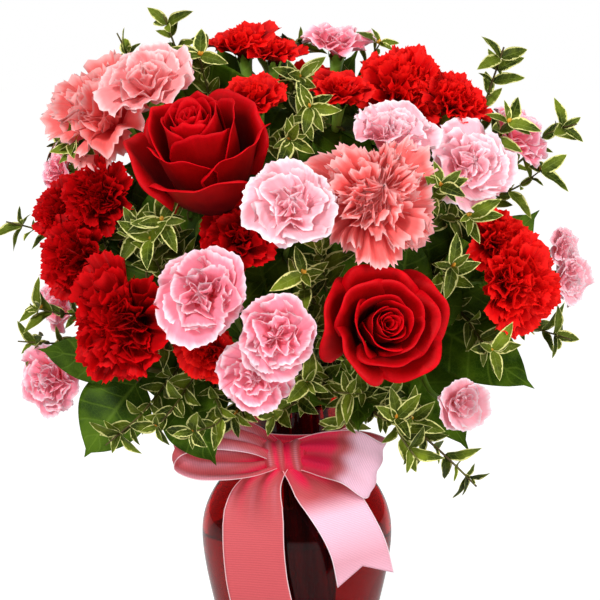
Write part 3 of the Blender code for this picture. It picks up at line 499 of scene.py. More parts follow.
def settle(piece, slot, *nodes):  # every finished piece rides on the one body
    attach(piece, "root")
    if nodes:
        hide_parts(*nodes)


def camelName(name):
    words = name.split("_")
    return words[0] + "".join(word.capitalize() for word in words[1:])


def smoothLine(points, steps):  # a smooth line through the points
    points = [Vector(point) for point in points]
    line = [points[0]]
    for i in range(len(points) - 1):
        before, after = points[max(i - 1, 0)], points[min(i + 2, len(points) - 1)]
        a, b = points[i], points[i + 1]
        line += interpolate_bezier(a, a + (b - before) / 6, b - (after - a) / 6, b, steps + 1)[1:]
    return line


def addRows(build, rows, tone, closed=False):
    addGrid(build, np.array([[tuple(point) for point in row] for row in rows]), tone, closed)


def around(side, up, angle):  # a direction square to an axis
    return side * math.cos(angle) + up * math.sin(angle)


def addTube(build, points, radii, sides=10, tone=0.5):
    # sweeps a circle along a line, its frame carried over from point to point
    points = [Vector(point) for point in points]
    side, rows = None, []
    for i, (point, radius) in enumerate(zip(points, radii)):
        ahead = points[min(i + 1, len(points) - 1)] - points[max(i - 1, 0)]
        ahead.normalize()
        side = ahead.orthogonal() if side is None else side - ahead * side.dot(ahead)
        side.normalize()
        up = ahead.cross(side)
        rows.append([point + around(side, up, math.tau * k / sides) * radius
                     for k in range(sides)])
    addRows(build, [[points[0]] * sides, *rows, [points[-1]] * sides], tone, closed=True)


# The arrangement's plan: what stands where

# Every bloom: centre in mm, bearing and lift of its face in degrees, radius in mm
blooms = {
    "rose_left": ((-55, -92, 362), (-20, 42), 42),
    "rose_right": ((50, -122, 269), (14, 14), 38),
    "carnation_red_front": ((-102, -92, 268), (-35, -4), 33),
    "carnation_red_left_a": ((-134, -48, 301), (-58, 6), 26),
    "carnation_red_left_b": ((-122, -43, 338), (-45, 14), 23),
    "carnation_red_left_c": ((-146, -24, 326), (-74, 8), 20),
    "carnation_salmon_left": ((-118, -20, 388), (-62, 42), 34),
    "carnation_salmon_middle": ((46, -112, 344), (16, 24), 35.5),
    "carnation_red_top_a": ((68, -24, 400), (40, 62), 29),
    "carnation_red_top_b": ((97, -33, 395), (60, 74), 21),
    "carnation_red_right_a": ((133, -52, 284), (50, 0), 27),
    "carnation_red_right_b": ((125, -48, 310), (48, 24), 20),
    "spray_coral_left": ((-90, -50, 407), (-30, 55), 23),
    "spray_blush_middle": ((-3, -138, 343), (0, 26), 26),
    "spray_pink_left": ((-55, -122, 289), (-14, 10), 26),
    "spray_pink_middle_a": ((-12, -137, 266), (-2, 0), 23),
    "spray_pink_middle_b": ((-24, -124, 240), (-8, -10), 21),
    "spray_red_low": ((-53, -108, 253), (-20, -8), 18),
    "spray_red_middle": ((-33, -104, 320), (-6, 28), 22),
    "spray_blush_top": ((57, -71, 379), (20, 60), 24),
    "spray_blush_right": ((105, -62, 359), (42, 34), 25),
    "spray_pink_top_right": ((138, -12, 373), (70, 44), 20),
    "spray_blush_far_a": ((169, 4, 298), (85, 10), 15),
    "spray_blush_far_b": ((173, 0, 282), (82, -2), 16),
    "spray_pink_far_left": ((-155, -22, 221), (-62, -18), 20),
    "spray_pink_side": ((-151, -5, 267), (-85, 0), 16),
    "spray_pink_upper_left": ((-150, 10, 353), (-95, 30), 15),
    "spray_red_crown_a": ((-34, 5, 429), (-30, 74), 20),
    "spray_red_crown_b": ((-14, -6, 425), (6, 72), 17),
    "spray_red_crown_front": ((-25, -52, 400), (-10, 62), 20),
    "spray_pink_crown": ((26, 5, 430), (20, 76), 20),
    "spray_red_crown_right": ((27, -43, 402), (18, 66), 18),
    "spray_pink_low_right": ((99, -72, 214), (40, -10), 19),
    "carnation_salmon_back": ((-66, 98, 326), (-148, 20), 37),
    "carnation_red_back": ((52, 108, 300), (155, 12), 38),
    "spray_pink_back_left": ((-112, 70, 262), (-125, 4), 25),
    "spray_pink_back_right": ((116, 62, 296), (116, 8), 26),
    "spray_red_back": ((8, 74, 392), (172, 52), 27),
}

stems = {  # the blooms that each stem carries
    "rose_left": ["rose_left"],
    "rose_right": ["rose_right"],
    "carnation_front": ["carnation_red_front", "carnation_red_left_a"],
    "carnation_upper": ["carnation_red_left_b", "carnation_red_left_c", "spray_pink_upper_left"],
    "carnation_salmon": ["carnation_salmon_left", "spray_coral_left"],
    "carnation_middle": ["carnation_salmon_middle"],
    "carnation_top": ["carnation_red_top_a", "carnation_red_top_b"],
    "carnation_right": ["carnation_red_right_a", "carnation_red_right_b"],
    "spray_middle": ["spray_blush_middle", "spray_red_middle", "spray_red_crown_front"],
    "spray_front": [
        "spray_pink_left", "spray_red_low", "spray_pink_middle_a", "spray_pink_middle_b",
    ],
    "spray_top": ["spray_blush_top", "spray_blush_right", "spray_red_crown_right"],
    "spray_right": [
        "spray_pink_top_right", "spray_blush_far_a", "spray_blush_far_b", "spray_pink_low_right",
    ],
    "spray_far_left": ["spray_pink_far_left", "spray_pink_side"],
    "spray_crown": ["spray_red_crown_a", "spray_red_crown_b", "spray_pink_crown"],
    "back_left": ["carnation_salmon_back", "spray_pink_back_left"],
    "back_right": ["carnation_red_back", "spray_pink_back_right", "spray_red_back"],
}

# Salal: the end of each branch, and its leaves as (root, tip, width), all in mm
salal = {
    "salal_left": ((-92, -50, 232), [
        ((-98, -58, 222), (-134, -66, 182), 50),
        ((-52, -74, 226), (-50, -98, 184), 42),
        ((-42, -38, 226), (16, -90, 220), 34),
        ((-92, -50, 232), (-160, -55, 246), 30),
        ((-40, -28, 238), (-88, -58, 204), 42),
        ((-46, -24, 244), (-100, -58, 228), 44),
    ]),
    "salal_right": ((92, -16, 270), [
        ((84, -28, 252), (148, -56, 226), 46),
        ((56, -40, 230), (110, -56, 186), 46),
        ((100, -10, 290), (154, -6, 326), 44),
        ((66, -50, 296), (104, -76, 316), 34),
        ((34, -58, 240), (42, -104, 208), 32),
        ((30, -36, 250), (70, -62, 220), 40),
        ((68, -18, 258), (128, -30, 286), 42),
    ]),
    "salal_top": ((-20, 22, 372), [
        ((-36, 4, 382), (-76, -16, 428), 42),
        ((-20, 22, 372), (-52, 24, 428), 34),
        ((-66, 30, 352), (-112, 14, 396), 42),
        ((-60, 30, 318), (-116, 16, 356), 44),
        ((-12, 20, 352), (44, 26, 424), 36),
        ((-12, 20, 352), (-6, 84, 350), 34),
        ((-66, -4, 330), (-114, -16, 386), 48),
    ]),
    "salal_back": ((8, 78, 300), [
        ((8, 78, 300), (-62, 112, 268), 38),
        ((8, 78, 300), (10, 118, 346), 36),
        ((6, 66, 284), (4, 118, 210), 40),
        ((6, 66, 284), (96, 74, 226), 38),
        ((6, 66, 284), (-92, 64, 222), 38),
    ]),
}

# Sprigs: the main stem's waypoints, and each twig's after the main waypoint it starts from
sprigs = {
    "sprig_left": ([(-60, 0, 242), (-116, 10, 288), (-150, 4, 308), (-184, 0, 318)], [
        (0, [(-118, -6, 244), (-150, -12, 242), (-176, -16, 244)]),
        (1, [(-138, 30, 345), (-160, 30, 374)]),
        (1, [(-108, -26, 312), (-98, -60, 316), (-94, -80, 322)]),
        (0, [(-76, -46, 228), (-96, -82, 208), (-116, -92, 192)]),
    ]),
    "sprig_top": ([(-30, 26, 300), (-58, 28, 372), (-72, 24, 412), (-84, 12, 448)], [
        (1, [(-96, 26, 404), (-114, 20, 436)]),
        (1, [(-20, 40, 400), (4, 34, 432)]),
    ]),
    "sprig_right": ([(56, 14, 270), (100, 22, 330), (118, 14, 388), (130, 2, 428)], [
        (1, [(140, 24, 352), (158, 14, 372), (176, -2, 380)]),
        (0, [(110, 20, 272), (150, 26, 276), (182, 22, 290)]),
        (0, [(110, 0, 258), (148, -12, 252), (172, -22, 246)]),
        (0, [(26, 0, 330), (8, -30, 372), (4, -52, 396)]),
    ]),
    "sprig_low": ([(30, -34, 222), (62, -70, 206), (88, -82, 186), (110, -80, 164)], [
        (0, [(40, -78, 222), (22, -100, 226)]),
        (1, [(62, -96, 200), (74, -104, 184)]),
    ]),
    "sprig_back": ([(0, 44, 270), (6, 76, 330), (10, 92, 372), (14, 96, 402)], [
        (0, [(-56, 84, 300), (-112, 84, 326)]),
        (0, [(60, 78, 290), (112, 84, 330)]),
    ]),
}

neck = {  # how the stems share the vase's neck and its floor
    "rounds": 400,
    "low": 166 * mm, "top": 204 * mm, "room": 23.5 * mm, "spacing": 6.6 * mm,
    "fullLean": math.radians(85),
    "footHeight": 9.8 * mm, "footTwist": math.radians(50), "footSpread": 1.05,
}
stemSizes = {  # radii and lengths; cup, base and ball are shares of a bloom's radius
    "rose": 2.8 * mm, "carnation": 2.1 * mm, "spray": 1.7 * mm, "salal": 1.9 * mm, "twig": 1.1 * mm,
    "calyxLength": 16 * mm, "gap": 0.3 * mm, "calyxSwelling": 1.30,
    "cupShare": {"rose": 0.20, "carnation": 0.17, "spray": 0.17},
    "baseBelow": {"rose": 0.80, "carnation": 0.50, "spray": 0.50},
    "ballMiddle": {"rose": 0.72, "carnation": 0.50, "spray": 0.50},
    "ballSize": 0.98, "forkShare": 0.42, "forkSwelling": (1.2, 1.45, 1.5),
    "leaving": 0.36, "arriving": 0.30,
}
pushing = {
    "rounds": 90, "bloomClearance": 1.2 * mm, "stemClearance": 1.0 * mm,
    "bloom": 0.4, "stem": 0.15, "homing": 0.02, "longest": 3 * mm,
    "probes": (0.0, 0.25, 0.5, 0.75),  # the places looked at between two points
}


def facing(bearing, lift):
    b, up = math.radians(bearing), math.radians(lift)
    return Vector((math.sin(b) * math.cos(up), -math.cos(b) * math.cos(up), math.sin(up)))


def kindOf(name):  # rose, carnation or spray
    return name.split("_")[0]


def bloomBase(name, look=None):  # where a bloom's petals leave its calyx
    centre, own, radius = blooms[name]
    below = facing(*(look or own)) * stemSizes["baseBelow"][kindOf(name)] * radius
    return (Vector(centre) - below) * mm


def settleInNeck(aims):
    places = []
    for aim in aims:
        lean = math.atan2(math.hypot(aim.x, aim.y), aim.z - neck["top"])
        bearing = math.atan2(aim.y, aim.x)
        reach = neck["room"] * min(lean / neck["fullLean"], 1)
        places.append(Vector((reach * math.cos(bearing), reach * math.sin(bearing))))
    for _ in range(neck["rounds"]):
        for i, one in enumerate(places):
            for other in places[i + 1:]:
                apart = one - other
                if apart.length < neck["spacing"]:
                    push = apart.normalized() * (neck["spacing"] - apart.length) / 2
                    one += push
                    other -= push
        for one in places:
            if one.length > neck["room"]:
                one *= neck["room"] / one.length
    return places


def arch(start, leaving, end, arriving, steps):
    reach = (end - start).length
    after = start + leaving * stemSizes["leaving"] * reach
    before = end - arriving * stemSizes["arriving"] * reach
    return interpolate_bezier(start, after, before, end, steps)[1:]


def shove(off, reach, spared):  # how far each point has to move away from the things near it
    far = np.linalg.norm(off, axis=2)
    short = reach - far
    short[(short < 0) | spared] = 0
    return off / np.maximum(far, 1e-6)[..., None] * short[..., None]


def pushClear(paths, balls):  # bends free points away from the blooms and the other plants
    points = np.array([p for path in paths for p in path["points"]], float)
    owner = np.array([i for i, path in enumerate(paths) for _ in path["points"]])
    node = np.array([path["node"] for path in paths])[owner]
    free = np.array([f for path in paths for f in path["free"]])
    thick = np.array([path["radius"] for path in paths])[owner]
    first = np.array([i for i in range(len(points) - 1) if owner[i] == owner[i + 1]])
    ballAt = np.array([ball[0] for ball in balls])
    ballSize = np.array([ball[1] for ball in balls])
    own = np.array([[ball[2] in paths[i]["blooms"] for ball in balls] for i in owner])
    start = points.copy()
    for _ in range(pushing["rounds"]):
        shift = np.zeros_like(points)
        a, b = points[first], points[first + 1]
        for share in pushing["probes"]:
            probe = blend(a, b, share)
            reach = ballSize[None] + thick[first][:, None] + pushing["bloomClearance"]
            push = shove(probe[:, None] - ballAt[None], reach, own[first]).sum(1)
            shift[first] += pushing["bloom"] * (1 - share) * push
            shift[first + 1] += pushing["bloom"] * share * push
            span = b - a
            along = ((probe[:, None] - a[None]) * span[None]).sum(2) / (span**2).sum(1)[None]
            nearest = a[None] + span[None] * np.clip(along, 0, 1)[..., None]
            reach = thick[first][:, None] + thick[first][None] + pushing["stemClearance"]
            sameNode = node[first][:, None] == node[first][None]
            push = shove(probe[:, None] - nearest, reach, sameNode)
            for end in (0, 1):
                np.add.at(shift, first + end, pushing["stem"] * push.sum(1))
                np.add.at(shift, first + end, -pushing["stem"] * push.sum(0))
        shift += pushing["homing"] * (start - points)
        points += np.clip(shift, -pushing["longest"], pushing["longest"]) * free[:, None]
    for i, path in enumerate(paths):
        path["points"] = [Vector(p) for p in points[owner == i]]


def planPaths():  # the route of every stem, branch and twig, as the frame's solids take it
    plans = []
    for name, carried in stems.items():
        aim = sum((bloomBase(bloom) for bloom in carried), Vector()) / len(carried)
        plans.append({"name": "stem_" + name, "aim": aim, "carried": carried})
    for name, (end, _) in salal.items():
        plans.append({"name": name, "aim": Vector(end) * mm, "carried": []})
    for name, (main, _) in sprigs.items():
        plans.append({"name": name, "aim": Vector(main[0]) * mm, "carried": []})
    slots = settleInNeck([plan["aim"] for plan in plans])
    paths = []

    def add(name, node, points, fixedStart, radius, kind, bloom=None, fixedEnd=1):
        free = [fixedStart <= i < len(points) - fixedEnd for i in range(len(points))]
        paths.append({"name": name, "node": node, "points": points, "free": free,
                      "radius": radius, "kind": kind, "blooms": [bloom] if bloom else []})

    for node, (plan, slot) in enumerate(zip(plans, slots)):
        turned = slot.copy()
        turned.rotate(Matrix.Rotation(neck["footTwist"], 2))
        foot = Vector((*(turned * neck["footSpread"]), neck["footHeight"]))
        top = Vector((*slot, neck["top"]))
        trunk = [foot, Vector((*slot, neck["low"])), top]
        name = plan["name"]
        if plan["carried"]:
            thick = stemSizes.get(name.split("_")[1], stemSizes["carnation"])
            ends = {}
            for bloom in plan["carried"]:
                look = facing(*blooms[bloom][1])
                below = look * (stemSizes["calyxLength"] + stemSizes["gap"])
                ends[bloom] = (bloomBase(bloom) - below, look)
            if len(ends) == 1:
                (bloom, (end, look)), = ends.items()
                rise = arch(top, upwards, end, look, 5)
                add(name, node, trunk + rise, 3, thick, "main", bloom)
                continue
            fork = top.lerp(plan["aim"], stemSizes["forkShare"])
            leaving = (plan["aim"] - top).normalized()
            add(name, node, trunk + arch(top, upwards, fork, leaving, 3), 3, thick, "main")
            for bloom, (end, look) in ends.items():
                branch = [fork] + arch(fork, leaving, end, look, 4)
                add(name, node, branch, 1, min(thick, stemSizes["spray"]), "branch", bloom)
        elif name in salal:
            end = Vector(salal[name][0]) * mm
            rise = arch(top, upwards, end, (end - top).normalized(), 6)
            add(name, node, trunk + rise, 3, stemSizes["salal"], "main")
        else:
            main, twigs = sprigs[name]
            main = metres(main)
            rise = arch(top, upwards, main[0], (main[1] - main[0]).normalized(), 4)
            line = trunk + rise + smoothLine(main, 2)[1:]
            add(name, node, line, 3, stemSizes["twig"] + 0.2 * mm, "main", fixedEnd=0)
            trunkPath = paths[-1]
            for start, waypoints in twigs:
                line = [main[start], *metres(waypoints)]
                add(name, node, line, 1, stemSizes["twig"], "twig", fixedEnd=0)
                trunkPath["free"][len(trunk + rise) - 1 + 2 * start] = False
    balls = []
    for name, (_, look, radius) in blooms.items():
        share = stemSizes["ballMiddle"][kindOf(name)]
        middle = bloomBase(name) + facing(*look) * share * radius * mm
        balls.append((middle, stemSizes["ballSize"] * radius * mm, name))
    pushClear(paths, balls)
    return paths


paths = planPaths()
print("routes planned:", len(paths))


# Frilled blooms: one petal grid, instanced and bent by its place in the head

frills = {
    "carnation": {
        "Petals": 48, "Columns": 29, "Rows": 9, "Outer Lean": 1.60, "Inner Lean": -0.12,
        "Outer Reach": 1.36, "Inner Reach": 1.02, "Width": 0.58, "Ruffle": 0.10, "Folds": 2.6,
        "Heart": 0.55, "Tooth": 0.040, "Swirl": 0.10, "Cup": 0.16, "Crumple": 0.30,
        "Opening": 0.8, "Loose": 0.42, "Ragged": 0.07,
    },
    "spray": {
        "Petals": 19, "Columns": 31, "Rows": 10, "Outer Lean": 1.50, "Inner Lean": -0.20,
        "Outer Reach": 1.38, "Inner Reach": 0.90, "Width": 0.98, "Ruffle": 0.15, "Folds": 2.1,
        "Heart": 0.25, "Tooth": 0.022, "Swirl": 0.60, "Cup": 0.08, "Crumple": 0.30,
        "Opening": 1.7, "Loose": 0.34, "Ragged": 0.05,
    },
}
frillChanges = {  # what a colour's or a bloom's petals have of their own
    "salmon": {"Ruffle": 0.13, "Folds": 3.6, "Petals": 46, "Width": 0.48, "Tooth": 0.055,
               "Columns": 31, "Crumple": 0.30, "Loose": 0.62, "Ragged": 0.14},
    "red": {"Ruffle": 0.11, "Folds": 2.8, "Tooth": 0.040},
    "carnation_red_front": {"Outer Reach": 1.40, "Ruffle": 0.13, "Folds": 3.2, "Loose": 0.30,
                            "Width": 0.50, "Seed": 71},
    "carnation_salmon_left": {"Petals": 30, "Width": 0.80, "Folds": 3.2},
    "spray_coral_left": {"Petals": 15, "Folds": 2.4, "Ruffle": 0.17, "Outer Reach": 1.65,
                         "Inner Reach": 1.2},
    "carnation_red_back": {"Outer Reach": 1.30, "Inner Reach": 0.90},
    "spray_pink_low_right": {"Outer Lean": 1.15, "Petals": 14, "Ruffle": 0.07, "Opening": 1.0},
}


frillForm = {  # what all frilled petals share; lengths are shares of the head's radius
    "clawShare": 0.40, "core": 0.06, "narrowest": 0.38, "toothFrom": 0.84, "shorterSides": 0.20,
    "crumpleSize": 2.6, "bearingScatter": 0.5, "narrowerWithin": 0.35,
}


def randomDraw(key, seed):  # a random value from 0 to 1, the same for the same key
    node = key.tree.nodes.new("FunctionNodeRandomValue")
    plug(key.tree, key, node.inputs["ID"])
    plug(key.tree, seed, node.inputs["Seed"])
    return Wire(key.tree, node.outputs[1])


def buildFrilledTree():
    form = frillForm
    tree, given, leave = newTree("frilledPetals", "GeometryNodeTree", {
        **frills["carnation"], "Seed": "Int", "Radius": "Float", "Material": "Material",
    }, {"Geometry": "Geometry"})
    points = place(tree, "GeometryNodePoints", Count=given["Petals"])
    points = points.into("StoreNamedAttribute", Name="petal",
                         Value=place(tree, "GeometryNodeInputIndex"))
    grid = place(tree, "GeometryNodeMeshGrid", Size_X=2.0, Size_Y=1.0,
                 Vertices_X=given["Columns"], Vertices_Y=given["Rows"])
    petals = place(tree, "GeometryNodeInstanceOnPoints", Points=points, Instance=grid)
    petals = petals.into("RealizeInstances")
    petal = place(tree, "GeometryNodeInputNamedAttribute", Name="petal")
    u, half, _ = separate(place(tree, "GeometryNodeInputPosition"))
    v = half + 0.5
    draws = [randomDraw(petal, given["Seed"] + step * 100) for step in range(7)]
    petals = petals.into("StoreNamedAttribute", {"data_type": "FLOAT2", "domain": "CORNER"},
                         Name="UVMap", Value=combine(u * 0.5 + 0.5, v, 0.0))
    petals = petals.into("StoreNamedAttribute", Name="tone", Value=draws[0])
    share = petal / (given["Petals"] - 1)
    radius = given["Radius"]
    opening = share ** given["Opening"]
    lean = blend(given["Outer Lean"], given["Inner Lean"], opening)
    lean = lean + (draws[1] - 0.5) * given["Loose"]
    start = lean * form["clawShare"]
    turn = lean - start
    reach = blend(given["Outer Reach"], given["Inner Reach"], share)
    bearing = petal * goldenTurn + (draws[6] - 0.5) * form["bearingScatter"]
    ragged = (bearing * 3 + given["Seed"]).sin() * given["Ragged"] + 1
    reach = radius * reach * (draws[2] * 0.18 + 0.87) * ragged
    teeth = (given["Columns"] - 1) * 0.5
    tooth = (u * teeth).math("PINGPONG", 1.0) * v.between(form["toothFrom"], 1.0) * given["Tooth"]
    length = v * (u * u * -form["shorterSides"] + 1) + tooth
    half = turn * length * 0.5  # the petal bends evenly from its claw to its rim
    bend = start + half * 2
    chord = reach * length * (half * half * -0.1667 + 1)
    radial = (start + half).sin() * chord + radius * form["core"]
    axial = (start + half).cos() * chord
    side = u * reach * given["Width"] * (share * -form["narrowerWithin"] + 1)
    side = side * (length**1.2 * 0.90 + 0.10)
    wave = (u * given["Folds"] * math.pi + draws[3] * math.tau).sin()
    zigzag = (u * given["Folds"] * 1.9 + draws[4] * 2).math("PINGPONG", 1.0) * 2 - 1
    lift = (wave + zigzag * 0.5) * radius * given["Ruffle"]
    lift = lift * (share * given["Heart"] + 0.8) * v**1.5
    lift = lift + radius * given["Cup"] * u * u * v * (draws[5] * 0.8 + 0.2)
    radial = radial - bend.cos() * lift
    axial = axial + bend.sin() * lift
    angle = bearing + given["Swirl"] * length
    angle = angle + side / radial.math("ABSOLUTE").math("MAXIMUM", radius * form["narrowest"])
    x, y = radial * angle.cos(), radial * angle.sin()
    scale = (radius / form["crumpleSize"]) ** -1
    warp = place(tree, "ShaderNodeTexNoise", output="Color", Scale=scale,
                 Vector=combine(x + given["Seed"], y, axial))
    amount = radius * given["Crumple"] * v
    x, y, z = [straight + (bent - 0.5) * amount
               for straight, bent in zip((x, y, axial), separate(warp))]
    petals = petals.into("SetPosition", Position=combine(x, y, z)).into("SetShadeSmooth")
    petals = petals.into("SetMaterial", Material=given["Material"])
    return finishTree(tree, leave, Geometry=petals)


def runTree(tree, name, values, source=None):  # evaluates a tree and returns the plain mesh
    holder = addObject(name, source or bpy.data.meshes.new(name))
    modifier = holder.modifiers.new("tree", "NODES")
    modifier.node_group = tree
    sockets = {item.name: item.identifier for item in tree.interface.items_tree
               if item.item_type == "SOCKET" and item.in_out == "INPUT"}
    for label, value in values.items():
        modifier[sockets[label]] = value
    bpy.context.view_layer.update()
    depsgraph = bpy.context.evaluated_depsgraph_get()
    mesh = bpy.data.meshes.new_from_object(holder.evaluated_get(depsgraph))
    bpy.data.objects.remove(holder)
    return mesh


def nodeOf(bloom):  # blooms that grow into each other share a node, named without its letter
    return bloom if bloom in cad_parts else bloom[:-2]


def colourOf(name):
    return next(c for c in ("rose", "red", "salmon", "coral", "blush", "pink") if c in name)


tilts = {  # heads that nod against their frame solids, about their centres
    "rose_left": (-22, 56), "carnation_salmon_left": (-38, 40), "spray_coral_left": (-22, 50),
    "carnation_red_left_a": (-42, 6), "carnation_red_left_b": (-30, 14),
    "carnation_red_left_c": (-52, 8), "carnation_red_top_a": (32, 42),
    "carnation_red_top_b": (46, 54), "carnation_red_right_a": (34, 2),
    "carnation_red_right_b": (34, 24), "spray_blush_right": (26, 28),
    "spray_pink_top_right": (52, 40), "spray_blush_far_a": (58, 14), "spray_blush_far_b": (52, -4),
    "spray_pink_far_left": (-34, -8), "spray_pink_side": (-56, 0),
    "spray_pink_upper_left": (-66, 26), "spray_pink_low_right": (22, 4),
}


def standing(name):  # the base and the direction of a bloom's head
    look = tilts.get(name, blooms[name][1])
    return bloomBase(name, look), facing(*look)


def bloomPlace(name, spin):
    base, axis = standing(name)
    turn = upwards.rotation_difference(axis).to_matrix().to_4x4()
    return Matrix.Translation(base) @ turn @ Matrix.Rotation(spin, 4, "Z")


def makeFrilledBlooms():
    tree = buildFrilledTree()
    for order, (name, (_, _, radius)) in enumerate(blooms.items()):
        if kindOf(name) == "rose":
            continue
        colour = colourOf(name)
        values = dict(frills[kindOf(name)], Radius=radius * mm, Seed=order,
                      Material=materials[otherTones.get(name, colour)])
        for changed in (colour, name):
            values.update(frillChanges.get(changed, {}))
        mesh = runTree(tree, camelName(name), values)
        mesh.transform(bloomPlace(name, headTurn * order))
        settle(addObject(camelName(name), mesh), colour + "_petal", nodeOf(name))


makeFrilledBlooms()
print("carnations ready")


# Roses: whorls of petals from the wide outer ones to the tight heart

roseShape = {
    "rows": 19, "columns": 25, "thickness": 0.35 * mm, "core": 0.045, "spiral": 0.10,
    "outerHalfAngle": 50, "innerHalfAngle": 150, "cap": 0.40, "turn": math.radians(137.5),
    "turnScatter": 0.15, "riseScatter": (0.97, 1.03), "rollScatter": (0.5, 1.4),
    "point": 0.08, "mostOpen": 0.80, "narrowFoot": 0.10,
}
roseHeads = {  # the open front rose and the goblet beside it
    "rose_right": {
        "petals": 27, "spin": 2.3, "belly": 0.68, "flare": 0.40, "height": 1.46, "sag": 0.10,
        "curl": 0.20, "broad": 2.6,
        "rise": [(0, 0.86), (0.3, 1.0), (0.6, 0.98), (1, 0.88)], "openShare": 0.55, "seed": 4,
    },
    "rose_left": {
        "petals": 25, "spin": 0.0, "belly": 0.86, "flare": 0.27, "height": 1.72, "sag": 0.08,
        "curl": 0.07, "broad": 3.4,
        "rise": [(0, 0.84), (0.3, 1.0), (1, 1.02)], "openShare": 0.38, "seed": 9,
    },
}


def ease(values, low, high):  # 0 below low, 1 above high, smooth between
    t = np.clip((values - low) / (high - low), 0, 1)
    return t * t * (3 - 2 * t)


def rosePetal(share, radius, head, draw):
    shape = roseShape
    v, u = axes(shape["rows"], shape["columns"])
    # the blade's outline: straight sides below, a broad arch with a faint point above
    broad = head["broad"]
    arched = (1 - np.abs(u) ** broad).clip(0) ** (1 / broad)
    arched = arched + shape["point"] * (1 - np.abs(u)) ** 3
    t = v * blend(shape["cap"], 1, arched)
    # how far it rolls back
    opened = min(max(0.0, 1 - share / head["openShare"]) ** 0.9, shape["mostOpen"])
    layer = blend(head["belly"], shape["core"], share**0.75)
    rise = np.interp(share, *zip(*head["rise"])) * draw.uniform(*shape["riseScatter"])
    half = blend(shape["outerHalfAngle"], shape["innerHalfAngle"], share**1.4)
    bowl = blend(shape["narrowFoot"], 1, np.sin(np.clip(t * 1.5, 0, 1) * math.pi / 2) ** 0.8)
    bend = ease(t, 0.45, 1.0)
    ring = layer * bowl * (1 - 0.12 * (1 - opened) * bend)
    ring = ring + head["flare"] * opened * bend**1.2 * (1 + 0.12 * draw.uniform(-1, 1))
    ring = ring * (1 + shape["spiral"] * u * (1 - 0.4 * share))
    angle = u * math.radians(half) * (0.45 + 0.55 * ease(t, 0, 0.6))
    up = head["height"] * rise * (t - head["sag"] * opened * bend**2)
    # the sides roll back and leave the point in the middle; the rim rolls over
    side = ease(np.abs(u), 0.35, 1.0) * draw.uniform(*shape["rollScatter"])
    up = up - head["curl"] * (0.35 + opened) * side * bend
    ring = ring + 0.10 * opened * side * bend
    rim = np.clip((v - 0.84) / 0.16, 0, 1) ** 2
    ring = ring + (0.026 + 0.070 * opened) * rim
    up = up - (0.014 + 0.110 * opened) * rim
    wave = draw.uniform(0, math.tau)
    ring = ring + (0.012 + 0.045 * opened) * v * np.sin(u * 3.2 + wave + v * 2)
    ring = ring + (0.006 + 0.016 * opened) * v**2 * np.sin(u * 8.5 - wave * 2 + v * 5)
    up = up + (0.020 + 0.045 * opened) * v**2 * np.sin(u * 4.5 + wave)
    up = up + 0.014 * v**3 * np.sin(u * 13 + wave * 3)
    return radius * np.stack([ring * np.sin(angle), -ring * np.cos(angle), up], axis=-1)


def makeRose(name, head):
    draw, scatter = random.Random(head["seed"]), roseShape["turnScatter"]
    build = newBuild()
    for i in range(head["petals"]):
        grid = rosePetal(i / (head["petals"] - 1), blooms[name][2] * mm, head, draw)
        turn = Matrix.Rotation(i * roseShape["turn"] + draw.uniform(-scatter, scatter), 3, "Z")
        addGrid(build, grid @ np.array(turn).T, tone=draw.random())
    piece = meshOf(build, camelName(name), materials["rose"], roseShape["thickness"])
    piece.data.transform(bloomPlace(name, head["spin"]))
    settle(piece, "rose_petal", name)


for name, head in roseHeads.items():
    makeRose(name, head)
print("roses ready")


# Stems and calyxes

calyxShape = {  # heights in mm and widths as shares of the cup's
    "sides": 30, "rose": [(-9, 0.45), (-6.5, 0.75), (-4, 0.92), (-1.5, 0.86), (0.2, 0.9)],
    "tube": [(-19, 0.32), (-17.5, 0.58), (-14, 0.72), (-9, 0.80), (-4, 0.90), (0, 1.06)],
    "points": 5, "toothHeight": 6.0 * mm, "sepalWidth": 5.2 * mm, "sepalReach": 17 * mm,
    "stemEnd": 12,
}


def addCalyx(build, name):
    shape, isRose = calyxShape, kindOf(name) == "rose"
    base, axis = standing(name)
    cup = stemSizes["cupShare"][kindOf(name)] * blooms[name][2] * mm * stemSizes["calyxSwelling"]
    side = axis.orthogonal().normalized()
    up = axis.cross(side)
    angles = [k * math.tau / shape["sides"] for k in range(shape["sides"])]
    rows = [[base + axis * z * mm + around(side, up, a) * cup * share for a in angles]
            for z, share in shape["rose" if isRose else "tube"]]
    if not isRose:  # pointed teeth hold the petals
        for step in (0.35, 0.7, 1.0):
            row = []
            for k, a in enumerate(angles):
                tooth = abs(((k / shape["sides"] * shape["points"]) % 1) - 0.5) * 2
                z = shape["toothHeight"] * min(step, tooth * 1.05)
                row.append(base + axis * z + around(side, up, a) * cup * (1.08 + 0.22 * step))
            rows.append(row)
    # tone 1: the calyx is painted lighter than the stems, which take painted shade
    addRows(build, rows, 1.0, closed=True)
    for k in range(shape["points"] if isRose else 0):  # sepals
        out = around(side, up, k * math.tau / shape["points"] + 0.3)
        across = axis.cross(out)
        rows = []
        for t in np.linspace(0, 1, 9):
            width = shape["sepalWidth"] * (1 - t) ** 0.8 * (0.6 + 1.2 * t * (1 - t))
            reach = cup * 0.8 + shape["sepalReach"] * t * (1 - 0.35 * t)
            spot = base - axis * (1.5 + 12 * t * t) * mm + out * reach
            rows.append([spot + across * width * w - axis * abs(w) * width * 0.35
                         for w in (-1, -0.5, 0, 0.5, 1)])
        addRows(build, rows, 0.6)


